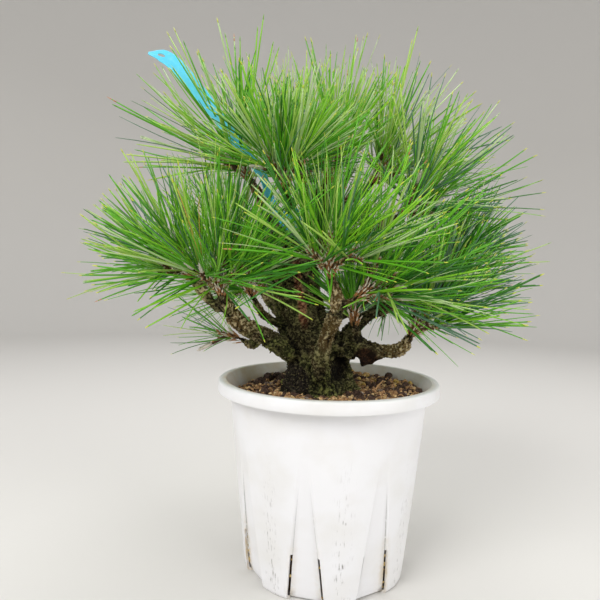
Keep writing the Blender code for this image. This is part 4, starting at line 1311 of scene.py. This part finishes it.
def crease_shares(places, spots):
    """How far each place lies in the crease between two limbs, from 0 to 1."""
    middles = np.array([tuple(spot.place) for spot in spots])
    radii = np.array([spot.radius for spot in spots])
    owners = np.array([spot.limb for spot in spots])
    far = 1.0
    first = np.full(len(places), far)
    second = np.full(len(places), far)
    for limb in range(owners.max() + 1):
        gap = np.full(len(places), far)
        for middle, radius in zip(middles[owners == limb], radii[owners == limb]):
            np.minimum(gap, np.linalg.norm(places - middle, axis=1) - radius, out=gap)
        second = np.minimum(second, np.maximum(first, gap))
        first = np.minimum(first, gap)
    share = np.clip(1 - (second - first) / CREASE_WIDTH, 0, 1)
    return share * share * (3 - 2 * share)


def dead_share(place):
    """How far a place lies in the black dead wood at the foot's left."""
    reach = math.hypot((place.x + 23 * MM) / (11 * MM), (place.z - 126 * MM) / (15 * MM))
    return (1 - smoothstep(0.75, 1.15, reach)) * (place.y < 4 * MM)


def hollow_share(place):
    """How far a place lies in the hollow right of the front root, under the right bough."""
    reach = math.hypot((place.x - 7 * MM) / (7 * MM), (place.z - 136 * MM) / (12 * MM))
    return (1 - smoothstep(0.3, 1.2, reach)) * (place.y < -8 * MM)


def scar_share(place):
    """How far a place lies in the red scar that runs down the trunk's front."""
    middle = -24 * MM + (205 * MM - place.z) * 0.17
    wander = 2.4 * MM * noise.noise(Vector((0, 0, place.z)) / (7 * MM))
    width = (2.7 + 1.3 * noise.noise(Vector((9, 0, place.z)) / (5 * MM))) * MM
    across = abs(place.x - middle - wander) / width
    up = smoothstep(160 * MM, 170 * MM, place.z) * (1 - smoothstep(205 * MM, 222 * MM, place.z))
    return (1 - smoothstep(0.55, 1.15, across)) * up * (place.y < -8 * MM)


def moss_share(place, thin):
    """How mossy a place is: most at the foot's front and on the left, least on thin twigs."""
    low = smoothstep(165 * MM, 118 * MM, place.z)
    patch = smoothstep(-0.25, 0.4, noise.noise(place / (9 * MM)) + 0.4 * low)
    foot = smoothstep(-20 * MM, -12 * MM, place.x) * smoothstep(10 * MM, 2 * MM, place.x) * low
    left = smoothstep(-12 * MM, -30 * MM, place.x)
    bare = 0.85 * thin * (1 - 0.9 * left)
    return min(1.0, patch * (0.5 + 0.5 * max(foot, left)) * (1 - bare))


Cork = namedtuple("Cork", "solid split tone crumb swell")


def cork_pattern(place, spot, plate_size, thick):
    """The cork at a place: off the fissures, off its plate's edge, its tone, crumbs and swells."""
    # Bark is drawn out along its limb, so the pattern is squashed in that direction.
    wander = noise.noise_vector(place / WANDER_SPACING) * WANDER + (place - spot.place)
    long_local = wander + spot.heading * (spot.reach * FISSURE_STRETCH)
    fissure = abs(noise.fractal(long_local / (FISSURE_SPACING * thick), 0.9, 2.0, 2))
    local = wander + spot.heading * (spot.reach * PLATE_STRETCH)
    near, centres = noise.voronoi(local / (plate_size * thick))
    return Cork(smoothstep(0.0, 0.20, fissure), smoothstep(0.0, 0.16, near[1] - near[0]),
                noise.cell(centres[0] * 7.3), noise.fractal(place / CRUMB_SPACING, 0.6, 2.2, 2),
                noise.noise(place / SWELL_SPACING))


def carve_bark(mesh, spots, flap, plate_size, depth):
    """Move the skin's points into fissures and plates, and note what grows where, with painted shade
    in the creases between limbs and in the hollow at the foot.
    """
    # Without a seed, Blender would draw noise_vector's offsets anew in each session.
    noise.seed_set(BARK_SEED)
    tree = kdtree.KDTree(len(spots))
    for i, spot in enumerate(spots):
        tree.insert(spot.place, i)
    tree.balance()
    creases = crease_shares(np.array([vertex.co[:] for vertex in mesh.vertices]), spots)
    normals = [vertex.normal.copy() for vertex in mesh.vertices]
    rows, headings = [], []
    for vertex, normal, crease in zip(mesh.vertices, normals, creases.tolist()):
        place = vertex.co.copy()
        spot = spots[tree.find(place)[1]]
        thick = min(1.0, 0.3 + spot.radius / (20 * MM))
        cork = cork_pattern(place, spot, plate_size, thick)
        reach = depth * thick
        hollow = hollow_share(place)
        smooth = smoothstep(1.15, 0.8, (place - flap).length / FLAP_REACH)
        push = (reach * (cork.solid - 0.5) + 0.6 * reach * (cork.tone - 0.5) * cork.split
                - 0.28 * reach * (1 - cork.split) + 0.36 * reach * cork.crumb
                + 0.8 * reach * cork.swell - CREASE_DEPTH * thick * crease - SLIMMING * (1 - thick))
        lump = FLAP_LUMP * smooth * noise.noise(place / FLAP_LUMP_SPACING)
        vertex.co = place + normal * (push * (1 - 0.9 * smooth) + lump - HOLLOW_DEPTH * hollow)
        plate = min(cork.solid * 0.75 + 0.25, 0.5 + 0.5 * cork.split)
        # Painted shade: the plate note is lowered in the hollow and in creases between limbs,
        # darkening them.
        plate *= (1 - 0.65 * hollow) * (1 - 0.55 * crease)
        tone = 0.5 + 0.5 * (cork.tone - 0.5) + 0.45 * cork.crumb + 0.3 * cork.swell
        # The dead note takes in the hollow at the foot, as painted shade.
        rows.append((max(plate, 0.62 * smooth), clamped(tone), spot.thin,
                     moss_share(place, spot.thin), scar_share(place),
                     max(dead_share(place), 0.6 * hollow), smooth))
        headings.append(spot.heading)
    notes = dict(zip(BARK_NOTES, np.array(rows).T))
    set_notes(mesh, notes)
    return notes, headings


class BONSAI_OT_bark(bpy.types.Operator):
    """Grow the corky bark of the trunk and boughs"""
    bl_idname = "bonsai.bark"
    bl_label = "Trunk and boughs"

    def execute(self, context):
        settings = context.scene.bonsai_bark
        limbs = grow_limbs()
        stems = stem_limbs([plan_mass(index, mass, limbs) for index, mass in enumerate(MASSES)])
        burr = Limb([Vector(point) * MM for point in BURR_PATH],
                    [radius * MM for radius in BURR_RADII])
        mesh = merged_limbs_mesh([burr, *stems.values()], settings.voxel)
        flap = limbs[FLAP_BOUGH].point(FLAP_PLACE) + FLAP_SHIFT
        spots = limb_spots({**limbs, "burr": burr}, stems)
        notes, headings = carve_bark(mesh, spots, flap, settings.plate, settings.depth)
        finish = corky_bark(settings.light, settings.dark, settings.moss)
        add_piece("corky_bark", mesh, finish, LIMB_NODES)
        self.add_loose_flakes(mesh, notes, headings)
        return {"FINISHED"}

    def add_loose_flakes(self, mesh, notes, headings):
        """Thin loose flakes that stand off the bark along its limb, in three tints."""
        rng = np.random.default_rng(FLAKE_SEED)
        twig, dead, flap, plate = (notes[name] for name in ("twig", "dead", "flap", "plate"))
        spots = rng.choice(len(twig), LOOSE_FLAKES, replace=False)
        spots = spots[(flap[spots] < 0.1) & (plate[spots] > 0.45)]
        luck = rng.random(len(spots))
        # Flakes are dark on dead wood, and in the hollow at the foot as painted shade.
        is_dark = (dead[spots] > 0.4) | (luck < 0.22)
        is_pale = ~is_dark & (luck < 0.27 + 0.35 * twig[spots])
        mesh.update()
        for tint, colour, chosen in (("dark", "#2b2318", spots[is_dark]),
                                     ("pale", "#9a9070", spots[is_pale]),
                                     ("olive", "#5f5d36", spots[~is_dark & ~is_pale])):
            normals = np.array([mesh.vertices[int(i)].normal[:] for i in chosen])
            roots = np.array([mesh.vertices[int(i)].co[:] for i in chosen]) - normals * (0.25 * MM)
            along = np.array([tuple(headings[int(i)]) for i in chosen])
            along = unit(along - normals * (along * normals).sum(-1, keepdims=True)
                         + rng.normal(0, 0.25, along.shape))
            size = rng.uniform(0.5, 1.0, len(chosen)) * (1 - 0.35 * twig[chosen])
            flakes = flake_parts(roots, normals, along, size * FLAKE_LENGTH, size * FLAKE_WIDTH,
                                 rng)
            name = "bark_flakes_" + tint
            add_piece(name, new_mesh(name, *flakes), papery("Flaking cork, " + tint, colour, 0.95),
                      LIMB_NODES)


# Shoots and needles

def swept_piece(name, parts, finish):
    """Join swept strands into one piece that stands for the needle masses."""
    add_piece(name, new_mesh(name, *joined(parts)), finish, MASS_NODES)


def shoot_parts(shoots, rng):
    """Side shoots, as brown strands that start inside the shoot they branch from."""
    steps = np.linspace(0, 1, 9)
    starts = np.array([tuple(shoot.knee.lerp(shoot.foot, 0.4)) for shoot in shoots])
    lines = np.array([tuple(shoot.end) for shoot in shoots]) - starts
    paths = starts[:, None] + lines[:, None] * steps[None, :, None]
    girths = np.array([shoot.radius for shoot in shoots])
    radii = girths[:, None] * (1.2 - 0.35 * steps)
    radii = radii * (1 + rng.uniform(-0.12, 0.12, radii.shape))
    return sweep(paths, radii, square_to(unit(lines), rng), regular(7))


def flake_parts(roots, outs, alongs, lengths, widths, rng):
    """Pointed papery flakes: each leaves its root along the shoot and lifts a little off it."""
    steps = np.array((0.0, 0.45, 1.0))
    headings = unit(alongs + outs * rng.uniform(0.25, 0.7, (len(roots), 1)))
    paths = roots[:, None] + headings[:, None] * (lengths[:, None] * steps)[..., None]
    radii = widths[:, None] * np.array((0.7, 1.0, 0.12))
    return sweep(paths, radii, np.cross(outs, alongs), [(1, 0), (0, 0.3), (-1, 0), (0, -0.25)])


def scale_spots(shoots, each, rng, reach=1.0):
    """Roots, outward and forward directions of scales that spiral up this share of each shoot."""
    roots, outs, alongs = [], [], []
    for shoot in shoots:
        side = np.array(shoot.out.orthogonal().normalized())
        forward = np.array(shoot.out)
        third = np.cross(forward, side)
        turn = rng.uniform(0, 2 * math.pi)
        for k in range(each):
            share = reach * (k + rng.random()) / each
            angle = turn + k * GOLDEN_ANGLE
            out = side * math.cos(angle) + third * math.sin(angle)
            place = np.array(shoot.foot.lerp(shoot.end, share)) + out * shoot.radius * 0.75
            roots.append(place)
            outs.append(out)
            alongs.append(forward)
    return np.array(roots), np.array(outs), np.array(alongs)


def bud_parts(shoots, rng):
    """Terminal buds: a pointed cream body under close overlapping scales."""
    steps = np.linspace(0, 1, 7)
    swell = np.array((0.75, 1.0, 1.02, 0.9, 0.68, 0.42, 0.12))
    feet = np.array([tuple(shoot.end) for shoot in shoots])
    outs = np.array([tuple(shoot.out) for shoot in shoots])
    lengths = rng.uniform(7, 12, len(shoots)) * MM
    girths = lengths * rng.uniform(0.10, 0.14, len(shoots))
    paths = feet[:, None] + outs[:, None] * (lengths[:, None] * steps)[..., None]
    body = sweep(paths, girths[:, None] * swell, square_to(outs, rng), regular(8))
    buds = [shoot._replace(foot=shoot.end, end=shoot.end + shoot.out * float(length) * 0.8,
                           radius=float(girth))
            for shoot, length, girth in zip(shoots, lengths, girths)]
    roots, sides, alongs = scale_spots(buds, 16, rng)
    count = len(roots)
    flakes = flake_parts(roots, sides * 0.3, alongs, rng.uniform(1.6, 3.0, count) * MM,
                         rng.uniform(0.3, 0.5, count) * MM, rng)
    return [body, flakes]


def deal_tints(pairs, shoots, rng):
    """A tint for each pair, as painted light and shade: lit tints for needles that face the sun and
    for high ones, shaded tints on the right; shoots lean to sun or shade, and neighbours vary a
    little.
    """
    leaning = [rng.random() for _ in shoots]
    dealt = []
    for pair in pairs:
        facing = 0.5 + 0.5 * pair.aim.dot(SUN_SIDE)
        high = clamped((pair.root.z - CROWN_FOOT) / CROWN_DEPTH)
        right = clamped(pair.root.x / CROWN_SIDE)
        sunny = clamped(0.3 * facing + 0.25 * leaning[pair.shoot] + 0.62 * high - 0.40 * right)
        weights = [sun * sunny + shade * (1 - sunny) + top * high ** 2 + beside * right
                   for _, _, sun, shade, top, beside in NEEDLE_TINTS]
        dealt.append(rng.choices(range(len(NEEDLE_TINTS)), weights)[0])
    return np.array(dealt)


def needle_strands(pairs, width, rng):
    """Curved middle lines, girths and flat-side directions: two needles a pair, parting slowly."""
    roots = np.array([tuple(pair.root) for pair in pairs]).repeat(2, axis=0)
    aims = np.array([tuple(pair.aim) for pair in pairs]).repeat(2, axis=0)
    lengths = np.array([pair.length for pair in pairs]).repeat(2)
    lengths = lengths * rng.uniform(0.94, 1.0, len(lengths))
    part = square_to(aims[::2], rng).repeat(2, axis=0)
    part[1::2] *= -1
    parting = np.radians(rng.uniform(3, 10, len(pairs))).repeat(2)[:, None]
    bow = square_to(aims, rng) * rng.uniform(0, 0.035, (len(aims), 1))
    sag = np.array((0, 0, -1)) * (1 - np.abs(aims[:, 2:])) * rng.uniform(0, 0.05, (len(aims), 1))
    ends = unit(aims + part * np.tan(parting)) + bow + sag
    feet = roots + part * (0.3 * MM)
    knees = feet + aims * (lengths * 0.45)[:, None]
    tips = feet + unit(ends) * lengths[:, None]
    girths = width / 2 * rng.uniform(0.86, 1.08, len(lengths))
    return feet, knees, tips, girths, np.cross(aims, part)


def needle_parts(strands, mask, shares, girth_shares, fatness=1.0):
    """The part of each chosen needle that lies at these shares along its curve."""
    feet, knees, tips, girths, across = (values[mask] for values in strands)
    t = shares[None, :, None]
    lines = feet[:, None] * (1 - t) ** 2 + knees[:, None] * 2 * t * (1 - t) + tips[:, None] * t ** 2
    return sweep(lines, girths[:, None] * girth_shares * fatness, across, NEEDLE_PROFILE)


class BONSAI_OT_needles(bpy.types.Operator):
    """Grow the shoots, buds, sheaths and paired needles of every mass"""
    bl_idname = "bonsai.needles"
    bl_label = "Shoots and needles"

    def execute(self, context):
        settings = context.scene.bonsai_needles
        limbs = grow_limbs()
        plans = [plan_mass(index, mass, limbs) for index, mass in enumerate(MASSES)]
        shoots = fine_shoots(plans, settings.pairs)
        solids = solid_samples(limbs, tag_frames(limbs))
        pairs = grow_pairs(shoots, crown_spaces(plans), solids, POT_HEIGHT + RIM_CLEARANCE)
        rng = np.random.default_rng(FINE_SEED)
        side_shoots = [shoot for shoot in shoots if shoot.radius == SIDE_RADIUS]
        swept_piece("side_shoots", [shoot_parts(side_shoots, rng)],
                    papery("Shoot bark", "#4f3c28", 0.85))
        self.add_scales(shoots, rng)
        self.add_old_sheaths(shoots, rng)
        self.add_sheaths(pairs, settings.sheath, rng)
        self.add_needles(pairs, shoots, settings.width, rng)
        return {"FINISHED"}

    def add_scales(self, shoots, rng):
        """Bract scales along the shoots, and a bud at the tip of about half of them."""
        for tint, colour, each in SCALES:
            roots, outs, alongs = scale_spots(shoots, each, rng)
            count = len(roots)
            flakes = flake_parts(roots, outs, alongs, rng.uniform(2.0, 4.2, count) * MM,
                                 rng.uniform(0.22, 0.45, count) * MM, rng)
            swept_piece("scales_" + tint, [flakes], papery("Bract scale, " + tint, colour))
        budding = [shoot for shoot in shoots if rng.random() < BUD_CHANCE]
        swept_piece("buds", bud_parts(budding, rng), papery("Bud scale", "#dcd4c6"))

    def add_strands(self, kind, roots, headings, lengths, girth, rng):
        """Dry sheaths: brown for the first part of their length, then pale papery to a thin end."""
        for tint, colour, steps, shape in SHEATH_PARTS:
            along = lengths[:, None] * np.array(steps)
            paths = roots[:, None] + headings[:, None] * along[..., None]
            radii = np.tile(np.array(shape) * girth, (len(roots), 1))
            strands = sweep(paths, radii, square_to(headings, rng), regular(4))
            finish = papery(f"Dry {kind.replace('_', ' ')}, {tint}", colour)
            swept_piece(f"{kind}_{tint}", [strands], finish)

    def add_sheaths(self, pairs, length, rng):
        """A papery sheath round the foot of each pair."""
        roots = np.array([tuple(pair.root) for pair in pairs])
        aims = np.array([tuple(pair.aim) for pair in pairs])
        lengths = length * rng.uniform(*SHEATH_SHARES, len(pairs))
        self.add_strands("sheaths", roots, aims, lengths, 0.7 * MM, rng)

    def add_old_sheaths(self, shoots, rng):
        """Empty sheaths that bristle from each shoot's foot."""
        spots = [scale_spots([shoot for shoot in shoots if shoot.bristles == each], each, rng,
                             0.25 if each == FEW_BRISTLES else 1.0)
                 for each in sorted({shoot.bristles for shoot in shoots} - {0})]
        roots, outs, alongs = (np.concatenate(part) for part in zip(*spots))
        headings = unit(alongs + outs * rng.uniform(0.25, 0.9, (len(roots), 1)))
        lengths = rng.uniform(5, 9, len(roots)) * MM
        self.add_strands("old_sheaths", roots, headings, lengths, 0.55 * MM, rng)

    def add_needles(self, pairs, shoots, width, rng):
        """Every needle in its tint, most of them with a yellow tip."""
        tints = deal_tints(pairs, shoots, random.Random(FINE_SEED + 2)).repeat(2)
        strands = needle_strands(pairs, width, rng)
        luck = rng.random(len(tints))
        dry = luck < DRY_TIPS
        yellow = (luck < YELLOW_TIPS) & ~dry
        for index, (tint, colour, *_) in enumerate(NEEDLE_TINTS):
            own = tints == index
            parts = [needle_parts(strands, own, NEEDLE_SHARES, NEEDLE_GIRTHS),
                     needle_parts(strands, own & ~yellow & ~dry, TIP_SHARES, TIP_GIRTHS)]
            swept_piece("needles_" + tint, parts, waxy_needle(tint, colour))
        for tint, colour, mask, shares, fatness in (
                ("yellow", "#d6dc52", yellow, TIP_SHARES, 1.1),
                ("dry", "#c98b5e", dry, DRY_TIP_SHARES, 1.15)):
            parts = [needle_parts(strands, mask, shares, TIP_GIRTHS, fatness)]
            swept_piece("needle_tips_" + tint, parts, waxy_needle(tint + " tip", colour))


# Tag

def tag_mesh(limbs, hole):
    """The strip as a ribbon with a tapered end, thickened, with an oval hole near that end."""
    frames = tag_frames(limbs)
    points, faces = [], []
    to_tip = [0.0]
    for here, there in zip(frames[::-1], frames[-2::-1]):
        to_tip.append(to_tip[-1] + (here[0] - there[0]).length)
    to_tip.reverse()
    for (point, across), left in zip(frames, to_tip):
        half = TAG_WIDTH / 2 * min(1.0, TAG_TIP_WIDTH + (1 - TAG_TIP_WIDTH) * left / TAG_TIP_LENGTH)
        for column in range(TAG_COLUMNS + 1):
            points.append(point + across * (half * (2 * column / TAG_COLUMNS - 1)))
    wide = TAG_COLUMNS + 1
    for row in range(len(frames) - 1):
        for column in range(TAG_COLUMNS):
            a = row * wide + column
            faces.append((a, a + 1, a + wide + 1, a + wide))
    body = {"thickness": TAG_THICKNESS, "offset": 0, "use_even_offset": True}
    strip = applied("tag_guide", new_mesh("tag_strip", points, faces), ("SOLIDIFY", body))
    row = next(i for i, left in enumerate(to_tip) if left < TAG_TIP_LENGTH * 1.05)
    centre, across = frames[row]
    heading = (frames[row + 1][0] - frames[row - 1][0]).normalized()
    cutter = hole_cutter(centre, heading, across, hole)
    result = applied("tag_guide", strip, ("BOOLEAN", {"operation": "DIFFERENCE", "object": cutter,
                                                      "solver": "EXACT"}))
    bpy.data.objects.remove(cutter)
    return result


def hole_cutter(centre, heading, across, length):
    """An oval rod square to the strip."""
    bm = bmesh.new()
    bmesh.ops.create_cone(bm, cap_ends=True, segments=24, radius1=1, radius2=1, depth=10 * MM)
    bmesh.ops.scale(bm, verts=bm.verts, vec=(length / 2, length / 4, 1))
    mesh = bpy.data.meshes.new("hole_cutter")
    bm.to_mesh(mesh)
    bm.free()
    cutter = bpy.data.objects.new("hole_cutter", mesh)
    bpy.context.scene.collection.objects.link(cutter)
    square = heading.cross(across).normalized()
    side = square.cross(heading).normalized()
    turn = Matrix((heading, side, square)).transposed().to_4x4()
    cutter.matrix_world = Matrix.Translation(centre) @ turn
    return cutter


class BONSAI_OT_tag(bpy.types.Operator):
    """Loop the blue plastic tag round its bough"""
    bl_idname = "bonsai.tag"
    bl_label = "Plant tag"

    def execute(self, context):
        settings = context.scene.bonsai_tag
        mesh = tag_mesh(grow_limbs(), settings.hole)
        add_piece("tag_strip", mesh, polyethylene_strip(settings.blue), ["plant_tag"])
        mesh.set_sharp_from_angle(angle=math.radians(40))
        return {"FINISHED"}


# Stage

def add_light(name, place, size, power):
    """A soft square light that faces the crown."""
    light = bpy.data.lights.new(name, "AREA")
    light.size = size
    light.energy = power
    item = bpy.data.objects.new(name, light)
    bpy.context.scene.collection.objects.link(item)
    item.location = place
    aim = CROWN_MIDDLE - Vector(place)
    item.rotation_euler = aim.to_track_quat("-Z", "Y").to_euler()


def paper_bowl_mesh():
    """A pale floor that curves up far out on every side."""
    outline = [(0.2, 0.0), (PAPER_FLAT * 0.5, 0.0)]
    for step in range(PAPER_STEPS + 1):
        turn = math.radians(90) * step / PAPER_STEPS
        outline.append((PAPER_FLAT + PAPER_CURVE * math.sin(turn),
                        PAPER_CURVE * (1 - math.cos(turn))))
    outline.append((PAPER_FLAT + PAPER_CURVE, PAPER_TOP))
    turns = [2 * math.pi * step / PAPER_AROUND for step in range(PAPER_AROUND)]
    points = [(radius * math.cos(turn), radius * math.sin(turn), level)
              for radius, level in outline for turn in turns]
    faces = [tuple(range(PAPER_AROUND)), *ring_walls(len(outline), PAPER_AROUND)]
    return new_mesh("paper_floor", points, faces)


class BONSAI_OT_stage(bpy.types.Operator):
    """Set the pale paper floor, soft lights and the photograph's camera"""
    bl_idname = "bonsai.stage"
    bl_label = "Stage"

    def execute(self, context):
        settings = context.scene.bonsai_stage
        mesh = paper_bowl_mesh()
        mesh.materials.append(seamless_paper(settings.paper))
        mesh.shade_smooth()
        floor = bpy.data.objects.new("paper_floor", mesh)
        context.scene.collection.objects.link(floor)
        for name, place, size, share in LIGHTS:
            add_light(name, place, size, settings.key_power * share)
        world = bpy.data.worlds.new("Soft studio")
        context.scene.world = world
        world.use_nodes = True
        backdrop = world.node_tree.nodes["Background"]
        backdrop.inputs["Color"].default_value = (*SKY_COLOUR, 1)
        backdrop.inputs["Strength"].default_value = SKY_STRENGTH
        context.scene.view_settings.view_transform = "Standard"
        self.add_camera(context)
        return {"FINISHED"}

    def add_camera(self, context):
        """The photograph's own viewpoint."""
        camera = bpy.data.cameras.new("camera")
        camera.lens = CAMERA_LENS
        camera.clip_start = 10 * MM
        item = bpy.data.objects.new("camera", camera)
        context.scene.collection.objects.link(item)
        item.matrix_world = (Matrix.Translation(CAMERA_PLACE)
                             @ Matrix.Rotation(math.radians(90) - CAMERA_PITCH, 4, "X")
                             @ Matrix.Rotation(CAMERA_ROLL, 4, "Z"))
        context.scene.camera = item


# Add-on

class BONSAI_PT_panel(bpy.types.Panel):
    """Lists the bonsai's settings and makers"""
    bl_idname = "BONSAI_PT_panel"
    bl_label = "Black pine bonsai"
    bl_space_type = "VIEW_3D"
    bl_region_type = "UI"
    bl_category = "Bonsai"

    def draw(self, context):
        for operator, group in MAKERS:
            box = self.layout.box()
            settings = getattr(context.scene, group)
            for name in settings.__annotations__:
                box.prop(settings, name)
            box.operator(operator.bl_idname)


GROUPS = {"bonsai_pot": PotSettings, "bonsai_bark": BarkSettings, "bonsai_needles": NeedleSettings,
          "bonsai_tag": TagSettings, "bonsai_stage": StageSettings}
MAKERS = ((BONSAI_OT_pot, "bonsai_pot"), (BONSAI_OT_soil, "bonsai_pot"),
          (BONSAI_OT_bark, "bonsai_bark"), (BONSAI_OT_needles, "bonsai_needles"),
          (BONSAI_OT_tag, "bonsai_tag"), (BONSAI_OT_stage, "bonsai_stage"))


def register():
    """Add the settings, makers and panel to Blender."""
    for group, settings in GROUPS.items():
        bpy.utils.register_class(settings)
        setattr(bpy.types.Scene, group, bpy.props.PointerProperty(type=settings))
    for operator, _ in MAKERS:
        bpy.utils.register_class(operator)
    bpy.utils.register_class(BONSAI_PT_panel)


def unregister():
    """Take them out again."""
    bpy.utils.unregister_class(BONSAI_PT_panel)
    for operator, _ in reversed(MAKERS):
        bpy.utils.unregister_class(operator)
    for group, settings in GROUPS.items():
        delattr(bpy.types.Scene, group)
        bpy.utils.unregister_class(settings)


def main():
    """Make every piece in turn."""
    register()
    bpy.ops.bonsai.pot()
    bpy.ops.bonsai.soil()
    bpy.ops.bonsai.bark()
    bpy.ops.bonsai.needles()
    bpy.ops.bonsai.tag()
    bpy.ops.bonsai.stage()


if __name__ == "__main__":
    main()
